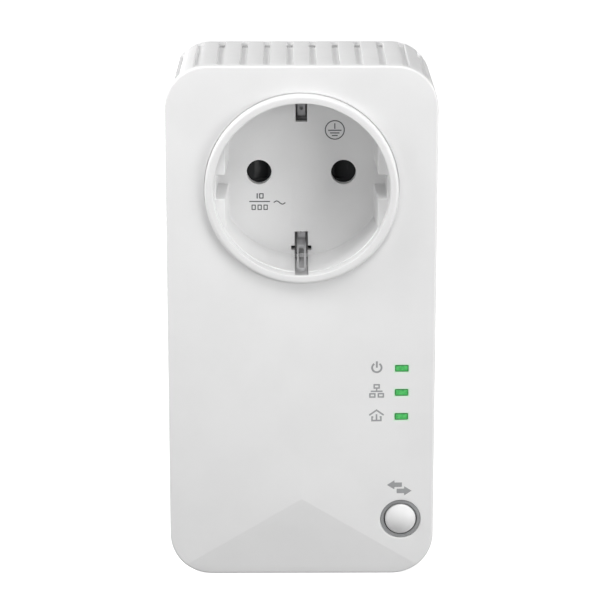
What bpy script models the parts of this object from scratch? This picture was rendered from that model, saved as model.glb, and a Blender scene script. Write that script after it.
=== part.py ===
"""Powerline adapter: a mains plug behind, a pass-through earthed socket in front, electronics below.

Axes: +X right, +Y towards the wall, +Z up. The origin is the centre of the plug's end face, and the
socket in front is on the plug's axis. Sizes are in millimetres; MM turns them into Blender's metres.
"""

import math

import bmesh
import bpy
from mathutils import Vector

MM = 0.001
GAP = 0.3  # clearance between two neighbouring pieces
FIT = 0.1  # clearance round the light pipes
SHARP_ANGLE = math.radians(35)

# Planes along Y, from the socket's rim in front to the pin tips behind
END_Y = 0.0
BOSS_LENGTH = 17.0
BACK_Y = END_Y - BOSS_LENGTH
BODY_DEPTH = 31.5
FACE_Y = BACK_Y - BODY_DEPTH
COLLAR_PROUD = 2.0
RIM_Y = FACE_Y - COLLAR_PROUD
RECESS_DEPTH = 17.5
FLOOR_Y = RIM_Y + RECESS_DEPTH
FLOOR_BACK_Y = FLOOR_Y + 2.0

# Housing
HALF_WIDTH = 29.9
TOP_Z = 27.4
BOTTOM_Z = -90.6
CORNER_R = 9.5
CORNER_STEPS = 8
WALL = 2.0
COVER_SIDE = 1.9
PARTING_Y = FACE_Y + COVER_SIDE
SEAM = 0.15
COVER_INNER_Y = FACE_Y + WALL
COVER_EDGE_R = 0.5
TONGUE_WALL = 1.2
TONGUE_END_Y = COVER_INNER_Y + 3.0
REAR_FRONT_Y = PARTING_Y + SEAM
REAR_INNER_Y = BACK_Y - WALL
DRAFT = 0.45
BACK_EDGE_R = 1.6

# Folded front face
RIDGE_TOP_Z = -25.0
APEX_Z = -71.8
APEX_RISE = 1.8
FOLD_STEPS = 8

# Vent grooves
VENT_PITCH = 5.08
VENT_HALF = 0.8
VENT_DEPTH = 0.8
VENT_SLOT = (BACK_Y - 5.2, BACK_Y - 2.5)
TOP_VENTS = range(12)
BOTTOM_VENTS = (0, 1, 2, 9, 10, 11)
TOP_SLOTS = range(2, 10)  # the grooves on the flat part of the wall, which open into the body
BOTTOM_SLOTS = (2, 9)

# Socket insert
COLLAR_R = 21.35
COLLAR_ROUND = 0.7
MOUTH_R = 19.5
RECESS_R = 19.4
RIB_FLAT = 16.3
RIB_DROP = 3.4
NOTCH_HALF = 2.72
NOTCH_REACH = 18.8
PIN_X = 9.5
PIN_HOLE_R = 2.8
COLLAR_HOLE_R = COLLAR_R + 0.25
FLANGE_R = 22.8
SKIRT_END_Y = FLOOR_Y + 9.0
POCKET_R = 19.5
CLIP_CHANNEL_DEPTH_Z = 20.6
UPPER_SLOT = (1.3, 11.6)  # half width, and how near the slot comes to the axis
LOWER_SLOT = (1.5, 13.8)

# Shutter, carrier and contacts
SHUTTER_Y = (FLOOR_BACK_Y + GAP, FLOOR_BACK_Y + GAP + 1.8)
SHUTTER_LOBE_R = 3.7
SHUTTER_WAIST = 2.6
SPINDLE_R = 1.5
CARRIER_Y = (FLOOR_Y + 7.0, FLOOR_Y + 8.8)
CARRIER_R = 19.2
BARREL_R = (3.9, 4.6)
CONTACT_R = (2.55, 3.5)
CONTACT_MOUTH_Y = CARRIER_Y[1] + 0.4
CONTACT_BASE_Y = (FLOOR_Y + 20.0, FLOOR_Y + 21.5)
BRIDGE_Y = CARRIER_Y[1] + GAP
STRIP = 0.6
CLIP_WIDTH = 2.1
CLIP_THICK = 0.5
CLIP_ROOT = (CARRIER_Y[1], 12.2)

# Plug
BOSS_R = 18.4
BOSS_FLAT = 16.0
KEY_HALF = 2.4
KEY_REACH = 18.0
BOSS_HOLE_R = BOSS_R + 0.35
BOSS_EDGE_R = 0.8
BOSS_FLANGE_R = 21.0
BOSS_FLANGE_Y = (REAR_INNER_Y - 2.6, REAR_INNER_Y - GAP)
END_WALL = 2.6
PIN_R = 2.4
PIN_LENGTH = 19.0
EARTH_PIN_Z = 10.0
EARTH_PIN_R = 3.1
EARTH_STRIP_Z = 17.75
EARTH_TAIL_Z = 15.4

# Boards and what stands on them
MODEM_Y = (-36.4, -35.2)
MAIN_Y = (-21.6, -20.0)
LIGHT_X = 22.4
LIGHT_ZS = {"power": -41.4, "ethernet": -47.05, "powerline": -52.7}
LIGHT_SIZE = (3.0, 1.55)
BUTTON_X = 22.4
BUTTON_Z = -77.2
BUTTON_R = 3.5
BEZEL_R = (3.75, 4.55)
BEZEL_FLANGE_R = 5.2
BUTTON_TRAVEL = 0.5
POST_X = 23.2
POST_ZS = (20.7, -83.9)
POST_MEET_Y = -33.7
BOARD_POST = (22.5, -33.0)
JACK_X = 8.0
JACK_Y = (-34.7, -21.2)
JACK_Z = (BOTTOM_Z + 0.3, BOTTOM_Z + 21.1)
RESET_X = 11.5
RESET_Y = -34.0

PLASTIC = ("white_plastic", (0.80, 0.80, 0.81), 0.42, 0.0)
GREY_PLASTIC = ("grey_plastic", (0.36, 0.36, 0.37), 0.45, 0.0)
DARK_PLASTIC = ("dark_plastic", (0.03, 0.03, 0.035), 0.5, 0.0)
NICKEL = ("nickel", (0.66, 0.65, 0.62), 0.25, 1.0)
STEEL = ("spring_steel", (0.55, 0.55, 0.56), 0.3, 1.0)
BRASS = ("brass", (0.75, 0.56, 0.25), 0.3, 1.0)
BOARD_GREEN = ("board_green", (0.03, 0.22, 0.08), 0.45, 0.0)
CLEAR = ("clear_pipe", (0.25, 0.75, 0.32), 0.15, 0.0)
YELLOW = ("yellow_case", (0.85, 0.62, 0.08), 0.45, 0.0)
BLUE_SLEEVE = ("blue_sleeve", (0.03, 0.08, 0.32), 0.35, 0.0)
BROWN_WIRE = ("brown_wire", (0.18, 0.07, 0.03), 0.45, 0.0)
FERRITE = ("ferrite", (0.06, 0.06, 0.065), 0.6, 0.0)


def clear_scene():
    for obj in list(bpy.data.objects):
        bpy.data.objects.remove(obj, do_unlink=True)


def material(look):
    """The Principled material of a look (name, colour, roughness, metallic), made once."""
    name, colour, roughness, metallic = look
    found = bpy.data.materials.get(name)
    if found:
        return found
    made = bpy.data.materials.new(name)
    made.use_nodes = True
    shader = made.node_tree.nodes["Principled BSDF"]
    shader.inputs["Base Color"].default_value = (*colour, 1.0)
    shader.inputs["Roughness"].default_value = roughness
    shader.inputs["Metallic"].default_value = metallic
    return made


# Outlines and solids -----------------------------------------------------------------------------


def circle(radius, centre=(0.0, 0.0), segments=24):
    turn = 2 * math.pi / segments
    return [
        (centre[0] + radius * math.cos(i * turn), centre[1] + radius * math.sin(i * turn))
        for i in range(segments)
    ]


def rectangle(a, b):
    """Corners of the rectangle that spans the ranges a and b."""
    return [(a[0], b[0]), (a[1], b[0]), (a[1], b[1]), (a[0], b[1])]


def rounded_outline(half_width, bottom, top, radius, steps=CORNER_STEPS):
    points = []
    for quarter, (side, centre_z) in enumerate(
        ((1, top - radius), (-1, top - radius), (-1, bottom + radius), (1, bottom + radius))
    ):
        for step in range(steps + 1):
            angle = math.pi / 2 * (quarter + step / steps)
            x = side * (half_width - radius) + radius * math.cos(angle)
            points.append((x, centre_z + radius * math.sin(angle)))
    return points


def housing_outline(inset):
    return rounded_outline(HALF_WIDTH - inset, BOTTOM_Z + inset, TOP_Z - inset, CORNER_R - inset)


def keyed_outline(radius, flat, key_half, key_reach, steps=18):
    """A round outline with two flat sides, each with a key that stands out in its middle."""
    start = math.acos(flat / radius)
    points = []
    for side in (1, -1):
        for step in range(steps + 1):
            angle = start + (math.pi - 2 * start) * step / steps
            points.append((side * radius * math.cos(angle), side * radius * math.sin(angle)))
        points.append((-side * flat, side * key_half))
        points.append((-side * key_reach, side * key_half))
        points.append((-side * key_reach, -side * key_half))
        points.append((-side * flat, -side * key_half))
    return points


def strip_outline(path, thickness):
    """The outline of a strip of even thickness along a path of straight runs, with mitred bends."""
    left, right = [], []
    for i, point in enumerate(path):
        here = Vector(point)
        before = (here - Vector(path[i - 1])).normalized() if i else None
        after = (Vector(path[i + 1]) - here).normalized() if i < len(path) - 1 else None
        along = ((before or after) + (after or before)).normalized()
        across = Vector((-along.y, along.x))
        reach = thickness / 2 / max(along.dot(after or before), 0.3)
        left.append(tuple(here + across * reach))
        right.append(tuple(here - across * reach))
    return left + right[::-1]


def spot(axis, a, b, along):
    """A point from its two coordinates across an axis and the one along it."""
    return {"X": (along, a, b), "Y": (a, along, b), "Z": (a, b, along)}[axis]


def loft(bm, rings):
    """One closed body through rings of equal point counts. Returns the face that closes the last ring."""
    loops = [[bm.verts.new(point) for point in ring] for ring in rings]
    for near, far in zip(loops, loops[1:]):
        for i in range(len(near)):
            j = (i + 1) % len(near)
            bm.faces.new((near[i], near[j], far[j], far[i]))
    bm.faces.new(loops[0])
    return bm.faces.new(loops[-1])


def prism(bm, outline, along, axis="Y"):
    loft(bm, [[spot(axis, a, b, place) for a, b in outline] for place in along])


def box(bm, x, y, z):
    prism(bm, rectangle(x, z), y)


def turned(bm, profile, segments=24, centre=(0.0, 0.0)):
    """A body turned about an axis along Y through centre (x, z), from a closed (radius, y) profile."""
    rings = []
    for radius, y in profile:
        outline = circle(radius, centre, segments) if radius > 0 else [centre]
        rings.append([bm.verts.new((x, y, z)) for x, z in outline])
    for ring, following in zip(rings, rings[1:] + rings[:1]):
        for i in range(segments):
            j = (i + 1) % segments
            corners = (
                ring[i % len(ring)],
                ring[j % len(ring)],
                following[j % len(following)],
                following[i % len(following)],
            )
            distinct = list(dict.fromkeys(corners))
            if len(distinct) > 2:
                bm.faces.new(distinct)


def quarter_round(radius_at, y_at, radius, steps, outward=1):
    """(radius, y) points of a rounded front edge, from the flat face to the side."""
    points = []
    for step in range(steps + 1):
        angle = math.pi / 2 * step / steps
        across = radius_at - radius + radius * math.sin(angle)
        points.append((across, y_at + outward * radius * (1 - math.cos(angle))))
    return points


# Objects -----------------------------------------------------------------------------------------


def add_object(name, bm, look, origin=(0.0, 0.0, 0.0)):
    """Makes an object from a body drawn in assembly millimetres, with its own origin at the given point."""
    bmesh.ops.translate(bm, verts=bm.verts, vec=-Vector(origin))
    bmesh.ops.scale(bm, verts=bm.verts, vec=(MM, MM, MM))
    bmesh.ops.recalc_face_normals(bm, faces=bm.faces)
    mesh = bpy.data.meshes.new(name)
    bm.to_mesh(mesh)
    bm.free()
    mesh.shade_smooth()
    mesh.set_sharp_from_angle(angle=SHARP_ANGLE)
    mesh.materials.append(material(look))
    obj = bpy.data.objects.new(name, mesh)
    obj.location = Vector(origin) * MM
    bpy.context.collection.objects.link(obj)
    return obj


def combine(target, operation, draw):
    """Joins or cuts the bodies that draw(bm) makes, which don't touch each other."""
    bm = bmesh.new()
    draw(bm)
    helper = add_object(f"{target.name}_{operation.lower()}_{len(target.modifiers)}", bm, PLASTIC)
    helper.hide_render = True
    helper.display_type = "WIRE"
    modifier = target.modifiers.new(helper.name, "BOOLEAN")
    modifier.operation = operation
    modifier.object = helper


def cut(target, draw):
    combine(target, "DIFFERENCE", draw)


def join(target, draw):
    combine(target, "UNION", draw)


def box_object(name, x, y, z, look, bevel=0.0):
    bm = bmesh.new()
    box(bm, x, y, z)
    obj = add_object(name, bm, look, centre_of(x, y, z))
    if bevel:
        edge = obj.modifiers.new("edges", "BEVEL")
        edge.width = bevel * MM
        edge.segments = 2
    return obj


def centre_of(*spans):
    return tuple(sum(span) / 2 for span in spans)


def turned_object(name, profile, look, segments=24, centre=(0.0, 0.0), origin_y=0.0):
    bm = bmesh.new()
    turned(bm, profile, segments, centre)
    return add_object(name, bm, look, (centre[0], origin_y, centre[1]))


def lying_object(name, profile, look, place, segments=20):
    """A turned body whose axis lies along X, centred at place."""
    bm = bmesh.new()
    turned(bm, profile, segments)
    obj = add_object(name, bm, look)
    obj.location = Vector(place) * MM
    obj.rotation_euler = (0.0, 0.0, math.pi / 2)
    return obj


def strip_object(name, path, thickness, width, look, axis="X", middle=0.0, origin=(0.0, 0.0, 0.0)):
    bm = bmesh.new()
    along = (middle - width / 2, middle + width / 2)
    prism(bm, strip_outline(path, thickness), along, axis)
    return add_object(name, bm, look, origin)


# Housing -----------------------------------------------------------------------------------------


def face_rise(x, z):
    """How far the folded face stands forward: a ridge that grows downwards, then a falling triangle."""
    if z >= RIDGE_TOP_Z:
        return 0.0
    grown = min((RIDGE_TOP_Z - z) / (RIDGE_TOP_Z - APEX_Z), 1.0)
    above = APEX_RISE * grown * (1 - abs(x) / HALF_WIDTH)
    below = APEX_RISE * (z - BOTTOM_Z) / (APEX_Z - BOTTOM_Z)
    return max(min(above, below), 0.0)


def split_front(bm, place, normal):
    """Cuts only the front face's polygons along a plane, so that a fold can follow it."""
    faces = [face for face in bm.faces if all(v.co.y < FACE_Y + 1e-4 for v in face.verts)]
    geometry = {*faces}
    for face in faces:
        geometry.update(face.edges)
        geometry.update(face.verts)
    bmesh.ops.bisect_plane(bm, geom=list(geometry), plane_co=place, plane_no=normal)


def fold_front(bm):
    split_front(bm, (0, 0, 0), (1, 0, 0))
    for step in range(FOLD_STEPS + 1):
        z = RIDGE_TOP_Z + (APEX_Z - RIDGE_TOP_Z) * step / FOLD_STEPS
        split_front(bm, (0, 0, z), (0, 0, 1))
    for side in (1, -1):
        split_front(bm, (0, 0, APEX_Z), (APEX_Z - BOTTOM_Z, 0, side * HALF_WIDTH))
    for vert in bm.verts:
        share = min(max((FACE_Y + COVER_EDGE_R - vert.co.y) / COVER_EDGE_R, 0.0), 1.0)
        vert.co.y -= share * face_rise(vert.co.x, vert.co.z)


def post_places():
    return [(side * POST_X, z) for z in POST_ZS for side in (-1, 1)]


def draw_posts(bm, places, radius, along):
    for place in places:
        prism(bm, circle(radius, place, 16), along)


def make_front_cover():
    inner = WALL + GAP + TONGUE_WALL
    levels = [
        (inner, COVER_INNER_Y),
        (inner, TONGUE_END_Y),
        (WALL + GAP, TONGUE_END_Y),
        (WALL + GAP, PARTING_Y),
        (0.0, PARTING_Y),
    ]
    for step in range(4):
        angle = math.pi / 2 * step / 3
        inset = COVER_EDGE_R * (1 - math.cos(angle))
        levels.append((inset, FACE_Y + COVER_EDGE_R * (1 - math.sin(angle))))
    bm = bmesh.new()
    loft(bm, [[(x, y, z) for x, z in housing_outline(inset)] for inset, y in levels])
    fold_front(bm)
    cover = add_object("front_cover", bm, PLASTIC)
    board_posts = [(side * BOARD_POST[0], BOARD_POST[1]) for side in (-1, 1)]

    def posts(bm):
        draw_posts(bm, post_places(), 2.9, (COVER_INNER_Y - 0.7, POST_MEET_Y - GAP))
        draw_posts(bm, board_posts, 2.4, (COVER_INNER_Y - 0.7, MODEM_Y[0] - GAP))

    def openings(bm):
        front, back = FACE_Y - 3.0, COVER_INNER_Y + 1.0
        prism(bm, circle(COLLAR_HOLE_R, segments=48), (front, back))
        prism(bm, circle(BEZEL_R[1] + FIT, (BUTTON_X, BUTTON_Z), 28), (front, back))
        for z in LIGHT_ZS.values():
            width, height = (side / 2 + FIT for side in LIGHT_SIZE)
            box(bm, (LIGHT_X - width, LIGHT_X + width), (front, back), (z - height, z + height))

    def screw_holes(bm):
        draw_posts(bm, post_places(), 1.6, (COVER_INNER_Y + 1.0, POST_MEET_Y + 1.0))
        draw_posts(bm, board_posts, 1.2, (COVER_INNER_Y + 1.0, MODEM_Y[0] + 1.0))

    def button_room(bm):
        room = circle(BEZEL_FLANGE_R + GAP, (BUTTON_X, BUTTON_Z), 28)
        prism(bm, room, (COVER_INNER_Y - 0.1, TONGUE_END_Y + 1.0))

    join(cover, posts)
    cut(cover, openings)
    cut(cover, screw_holes)
    cut(cover, button_room)


def draft_at(y):
    return DRAFT * (y - REAR_FRONT_Y) / (BACK_Y - REAR_FRONT_Y)


def vent_stations():
    """(x, z, turn) of the twelve grooves over the top; the outer ones follow the corners round."""
    stations = []
    straight = HALF_WIDTH - CORNER_R
    for i in TOP_VENTS:
        along = (i - (len(TOP_VENTS) - 1) / 2) * VENT_PITCH
        turn = max(abs(along) - straight, 0.0) / CORNER_R
        stations.append((max(min(along, straight), -straight), math.copysign(turn, along)))
    return stations


def draw_vents(bm, chosen, end, bottom_z, y_range, follow_draft):
    """Groove cutters on the top (end 1) or the bottom (end -1), each square to the wall where it stands."""
    stations = vent_stations()
    for i in chosen:
        x, turn = stations[i]
        edge_z = TOP_Z if end > 0 else -BOTTOM_Z
        low = [edge_z - bottom_z - (draft_at(y) if follow_draft else 0.0) for y in y_range]
        rings = []
        for offset in (-VENT_HALF, VENT_HALF):
            ring = []
            for y, z in zip((*y_range, *y_range[::-1]), (*low, edge_z + 2, edge_z + 2)):
                hub = edge_z - CORNER_R
                across = offset * math.cos(turn) + (z - hub) * math.sin(turn)
                up = hub - offset * math.sin(turn) + (z - hub) * math.cos(turn)
                ring.append((x + across, y, end * up))
            rings.append(ring)
        loft(bm, rings)


def make_rear_cover():
    levels = [
        (WALL + draft_at(REAR_INNER_Y), REAR_INNER_Y),
        (WALL, REAR_FRONT_Y),
        (0.0, REAR_FRONT_Y),
    ]
    for step in range(4):
        angle = math.pi / 2 * step / 3
        y = BACK_Y - BACK_EDGE_R * (1 - math.sin(angle))
        levels.append((draft_at(y) + BACK_EDGE_R * (1 - math.cos(angle)), y))
    bm = bmesh.new()
    loft(bm, [[(x, y, z) for x, z in housing_outline(inset)] for inset, y in levels])
    cover = add_object("rear_cover", bm, PLASTIC)

    def openings(bm):
        prism(bm, circle(BOSS_HOLE_R, segments=48), (REAR_INNER_Y - 1.0, BACK_Y + 1.0))
        through = (BOTTOM_Z - 1.0, BOTTOM_Z + WALL + 1.0)
        port_y = (JACK_Y[0] - GAP, JACK_Y[1] + GAP)
        box(bm, (-JACK_X - GAP, JACK_X + GAP), port_y, through)
        prism(bm, circle(0.9, (RESET_X, RESET_Y), 12), through, "Z")

    def screw_holes(bm):
        for place in post_places():
            profile = [(0.0, POST_MEET_Y - 1.0), (1.6, POST_MEET_Y - 1.0), (1.6, BACK_Y - 4.1)]
            profile += [(2.9, BACK_Y - 4.1), (2.9, BACK_Y + 1.0), (0.0, BACK_Y + 1.0)]
            turned(bm, profile, 16, place)

    groove_y = (REAR_FRONT_Y - 1.0, BACK_Y + 1.0)
    join(cover, lambda bm: draw_posts(bm, post_places(), 3.7, (POST_MEET_Y, REAR_INNER_Y + 1.0)))
    cut(cover, openings)
    cut(cover, screw_holes)
    cut(cover, lambda bm: draw_vents(bm, TOP_VENTS, 1, VENT_DEPTH, groove_y, True))
    cut(cover, lambda bm: draw_vents(bm, BOTTOM_VENTS, -1, VENT_DEPTH, groove_y, True))
    cut(cover, lambda bm: draw_vents(bm, TOP_SLOTS, 1, WALL + 1.5, VENT_SLOT, False))
    cut(cover, lambda bm: draw_vents(bm, BOTTOM_SLOTS, -1, WALL + 1.5, VENT_SLOT, False))


def make_housing_screws():
    names = ("lower_left", "lower_right", "upper_left", "upper_right")
    ordered = sorted(post_places(), key=lambda place: (place[1], place[0]))
    head = (BACK_Y - 3.8, BACK_Y - 1.8)
    for name, place in zip(names, ordered):
        profile = [(0.0, head[1]), (2.2, head[1]), (2.6, head[1] - 0.5), (2.6, head[0])]
        profile += [(1.3, head[0]), (1.3, head[0] - 20.0), (0.6, head[0] - 21.0), (0.0, head[0] - 21.0)]
        screw = turned_object(f"housing_screw_{name}", profile, STEEL, 16, place, head[0])
        arm, half = 1.5, 0.35
        cross = [(half, arm), (half, half), (arm, half), (arm, -half), (half, -half), (half, -arm)]
        cross += [(-x, -z) for x, z in cross]
        drive = [(place[0] + x, place[1] + z) for x, z in cross]
        cut(screw, lambda bm, drive=drive: prism(bm, drive, (head[1] - 1.1, head[1] + 1.0)))


# Pass-through socket -----------------------------------------------------------------------------


def slot_section(side, near_axis):
    """(y, z) section of a clip's slot: through the floor, then along the recess wall."""
    points = [
        (RIM_Y + 1.1, side * RECESS_R * 0.93),
        (FLOOR_Y - 0.4, side * RECESS_R * 0.93),
        (FLOOR_Y - 0.4, side * near_axis),
        (FLOOR_BACK_Y + 0.1, side * near_axis),
        (FLOOR_BACK_Y + 0.1, side * CLIP_CHANNEL_DEPTH_Z),
        (RIM_Y + 1.1, side * CLIP_CHANNEL_DEPTH_Z),
    ]
    return points


def make_socket_insert():
    profile = [(0.0, RIM_Y), *quarter_round(COLLAR_R, RIM_Y, COLLAR_ROUND, 3)]
    profile += [(COLLAR_R, COVER_INNER_Y + GAP), (FLANGE_R, COVER_INNER_Y + GAP)]
    profile += [(FLANGE_R, COVER_INNER_Y + 1.5), (COLLAR_R, COVER_INNER_Y + 1.5)]
    profile += [(COLLAR_R, SKIRT_END_Y), (POCKET_R, SKIRT_END_Y)]
    profile += [(POCKET_R, FLOOR_BACK_Y), (0.0, FLOOR_BACK_Y)]
    insert = turned_object("socket_insert", profile, PLASTIC, 48)
    front = RIM_Y - 3.0
    outline = keyed_outline(RECESS_R, RIB_FLAT, NOTCH_HALF, NOTCH_REACH)
    cut(insert, lambda bm: prism(bm, circle(MOUTH_R, segments=48), (front, RIM_Y + RIB_DROP)))
    cut(insert, lambda bm: prism(bm, outline, (front, FLOOR_Y)))

    def through_floor(bm):
        for x in (-PIN_X, PIN_X):
            prism(bm, circle(PIN_HOLE_R, (x, 0.0), 24), (FLOOR_Y - 1.0, FLOOR_BACK_Y + 1.0))
        for side, (half, near_axis) in ((1, UPPER_SLOT), (-1, LOWER_SLOT)):
            prism(bm, slot_section(side, near_axis), (-half, half), "X")

    cut(insert, through_floor)


def shutter_outline(steps=10):
    """Two round lobes over the pin holes, joined by a narrower waist."""
    reach = math.asin(SHUTTER_WAIST / SHUTTER_LOBE_R)
    points = []
    for side in (1, -1):
        for step in range(steps + 1):
            angle = -math.pi + reach + (2 * math.pi - 2 * reach) * step / steps
            x = PIN_X + SHUTTER_LOBE_R * math.cos(angle)
            points.append((side * x, side * SHUTTER_LOBE_R * math.sin(angle)))
    return points


def make_shutter():
    bm = bmesh.new()
    prism(bm, shutter_outline(), SHUTTER_Y)
    shutter = add_object("shutter", bm, DARK_PLASTIC, (0.0, centre_of(SHUTTER_Y)[0], 0.0))
    cut(shutter, lambda bm: prism(bm, circle(SPINDLE_R + GAP, segments=20), (-32.0, -28.0)))

    def ramps(bm):
        for side in (1, -1):
            deep = [(side * (PIN_X - 2.0), SHUTTER_Y[0] + 1.1), (side * (PIN_X + 2.4), SHUTTER_Y[0] - 0.5)]
            deep.append((side * (PIN_X - 2.0), SHUTTER_Y[0] - 0.5))
            prism(bm, deep, (-2.0, 2.0), "Z")

    cut(shutter, ramps)


def make_shutter_spring():
    """A small torsion spring round the spindle, between the shutter and the carrier."""
    turns, steps, radius, wire = 2.5, 12, 2.6, 0.22
    start = SHUTTER_Y[1] + GAP + wire
    rise = CARRIER_Y[0] - GAP - wire - start
    total = int(turns * steps)
    points = []
    for i in range(total + 1):
        angle = 2 * math.pi * i / steps
        y = start + rise * i / total
        points.append((radius * math.cos(angle), y, radius * math.sin(angle)))
    points.insert(0, (radius, start, -3.0))
    points.append((-radius, start + rise, 3.0))
    curve_object("shutter_spring", points, wire, STEEL, 0)


def curve_object(name, points, radius, look, resolution):
    curve = bpy.data.curves.new(name, "CURVE")
    curve.dimensions = "3D"
    curve.bevel_depth = radius * MM
    curve.bevel_resolution = resolution
    curve.use_fill_caps = True
    spline = curve.splines.new("POLY")
    spline.points.add(len(points) - 1)
    for target, point in zip(spline.points, points):
        target.co = (*(value * MM for value in point), 1.0)
    curve.materials.append(material(look))
    obj = bpy.data.objects.new(name, curve)
    bpy.context.collection.objects.link(obj)


def make_contact_carrier():
    bm = bmesh.new()
    prism(bm, circle(CARRIER_R, segments=40), CARRIER_Y)
    carrier = add_object("contact_carrier", bm, GREY_PLASTIC)

    def barrels(bm):
        barrel_end = CONTACT_BASE_Y[0] + 1.0
        for x in (-PIN_X, PIN_X):
            profile = [(BARREL_R[0], CARRIER_Y[1] - 0.5), (BARREL_R[1], CARRIER_Y[1] - 0.5)]
            profile += [(BARREL_R[1], barrel_end), (BARREL_R[0], barrel_end)]
            turned(bm, profile, 20, (x, 0.0))
        prism(bm, circle(SPINDLE_R, segments=16), (FLOOR_BACK_Y + GAP, CARRIER_Y[0] + 0.5))

    def holes(bm):
        along = (CARRIER_Y[0] - 1.0, CARRIER_Y[1] + 0.2)
        for side in (-1, 1):
            prism(bm, circle(3.0, (side * PIN_X, 0.0), 20), along)
            box(bm, (-1.6, 1.6), along, sorted((side * 11.2, side * 13.8)))

    join(carrier, barrels)
    cut(carrier, holes)


def make_line_contacts():
    for name, x in (("neutral_contact", PIN_X), ("line_contact", -PIN_X)):
        inner, outer = CONTACT_R
        profile = [(0.0, CONTACT_BASE_Y[0]), (inner, CONTACT_BASE_Y[0]), (inner, CONTACT_MOUTH_Y)]
        profile += [(outer, CONTACT_MOUTH_Y), (outer, CONTACT_BASE_Y[1]), (1.2, CONTACT_BASE_Y[1])]
        profile += [(1.2, END_Y - 8.7), (0.0, END_Y - 8.7)]
        contact = turned_object(name, profile, BRASS, 20, (x, 0.0), CONTACT_BASE_Y[0])
        along = (CONTACT_MOUTH_Y - 1.0, CONTACT_BASE_Y[0] - 1.5)
        slit = (x - 0.4, x + 0.4)
        cut(contact, lambda bm, slit=slit, along=along: box(bm, slit, along, (-5.0, 5.0)))


def clip_path(side):
    """(y, z) path of an earth clip: back leg, eye behind the floor, then the sloping contact arm."""
    points = [
        CLIP_ROOT,
        (FLOOR_BACK_Y + 0.65, CLIP_ROOT[1]),
        (FLOOR_BACK_Y + 0.65, 16.1),
        (FLOOR_Y - 0.5, 16.7),
        (FLOOR_Y - 10.8, 19.3),
        (FLOOR_Y - 12.0, 19.5),
    ]
    return [(y, side * z) for y, z in points]


def make_earthing():
    origin_y, origin_z = CLIP_ROOT
    for name, side in (("earth_clip_upper", 1), ("earth_clip_lower", -1)):
        origin = (0.0, origin_y, side * origin_z)
        path = clip_path(side)
        clip = strip_object(name, path, CLIP_THICK, CLIP_WIDTH, STEEL, origin=origin)
        arm = sorted((side * 15.0, side * 20.5))
        window = (FLOOR_Y - 9.8, FLOOR_Y - 1.4)
        cut(clip, lambda bm, window=window, arm=arm: box(bm, (-0.45, 0.45), window, arm))
    strap_y = BRIDGE_Y + STRIP / 2
    strip_object("earth_bridge", [(strap_y, -16.0), (strap_y, 16.0)], STRIP, 2.6, BRASS)


# Plug --------------------------------------------------------------------------------------------


def boss_outline(inset):
    return keyed_outline(BOSS_R - inset, BOSS_FLAT - inset, KEY_HALF - inset, KEY_REACH - inset)


def make_plug_body():
    inside = keyed_outline(16.5, 14.4, 1.2, 15.2)
    flange = [
        (x * BOSS_FLANGE_R / math.hypot(x, z), z * BOSS_FLANGE_R / math.hypot(x, z))
        for x, z in boss_outline(0.0)
    ]
    levels = [
        (inside, END_Y - END_WALL),
        (inside, BOSS_FLANGE_Y[0]),
        (flange, BOSS_FLANGE_Y[0]),
        (flange, BOSS_FLANGE_Y[1]),
        (boss_outline(0.0), BOSS_FLANGE_Y[1]),
    ]
    for step in range(4):
        angle = math.pi / 2 * step / 3
        inset = BOSS_EDGE_R * (1 - math.cos(angle))
        levels.append((boss_outline(inset), END_Y - BOSS_EDGE_R * (1 - math.sin(angle))))
    bm = bmesh.new()
    loft(bm, [[(x, y, z) for x, z in outline] for outline, y in levels])
    plug = add_object("plug_body", bm, PLASTIC)

    def holes(bm):
        along = (END_Y - END_WALL - 1.0, END_Y + 1.0)
        for x in (-PIN_X, PIN_X):
            prism(bm, circle(PIN_R + GAP, (x, 0.0), 24), along)
        prism(bm, circle(EARTH_PIN_R, (0.0, EARTH_PIN_Z), 24), along)
        for side in (1, -1):
            groove = [(-15.5, 17.2), (-0.9, 17.2), (-0.9, 19.5)]
            groove += [(-16.5, 19.5), (-16.5, 15.0), (-15.5, 15.0)]
            prism(bm, [(y, side * z) for y, z in groove], (-2.3, 2.3), "X")

    cut(plug, holes)


def make_plug_metal():
    tip = END_Y + PIN_LENGTH
    for name, x in (("plug_pin_neutral", PIN_X), ("plug_pin_line", -PIN_X)):
        profile = [(0.0, tip)]
        profile += [(radius, 2 * tip - y) for radius, y in quarter_round(PIN_R, tip, 1.5, 4)]
        profile += [(PIN_R, END_Y - END_WALL - GAP), (3.3, END_Y - END_WALL - GAP)]
        profile += [(3.3, END_Y - 4.4), (PIN_R, END_Y - 4.4), (PIN_R, END_Y - 8.3), (0.0, END_Y - 8.3)]
        turned_object(name, profile, NICKEL, 24, (x, 0.0))
    for name, side in (("plug_earth_strip_upper", 1), ("plug_earth_strip_lower", -1)):
        path = [(END_Y - 1.4, EARTH_STRIP_Z), (END_Y - 16.0, EARTH_STRIP_Z)]
        path += [(END_Y - 16.0, EARTH_TAIL_Z), (BRIDGE_Y + STRIP + GAP, EARTH_TAIL_Z)]
        strip_object(name, [(y, side * z) for y, z in path], STRIP, 4.0, NICKEL)
    fork = [(-2.8, END_Y - 3.4), (-2.8, END_Y - 15.7), (2.8, END_Y - 15.7), (2.8, END_Y - 3.4)]
    strip_object("earth_pin_contact", fork, 0.4, 4.0, BRASS, "Z", EARTH_PIN_Z)


def smooth_route(points, steps=5):
    """Points on a smooth curve through the given ones."""
    route = []
    padded = [points[0], *points, points[-1]]
    for before, start, end, after in zip(padded, padded[1:], padded[2:], padded[3:]):
        for step in range(steps):
            t = step / steps
            route.append([
                0.5 * (2 * b + (c - a) * t + (2 * a - 5 * b + 4 * c - d) * t * t
                       + (3 * b - a - 3 * c + d) * t**3)
                for a, b, c, d in zip(before, start, end, after)
            ])
    return [*route, list(points[-1])]


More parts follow.
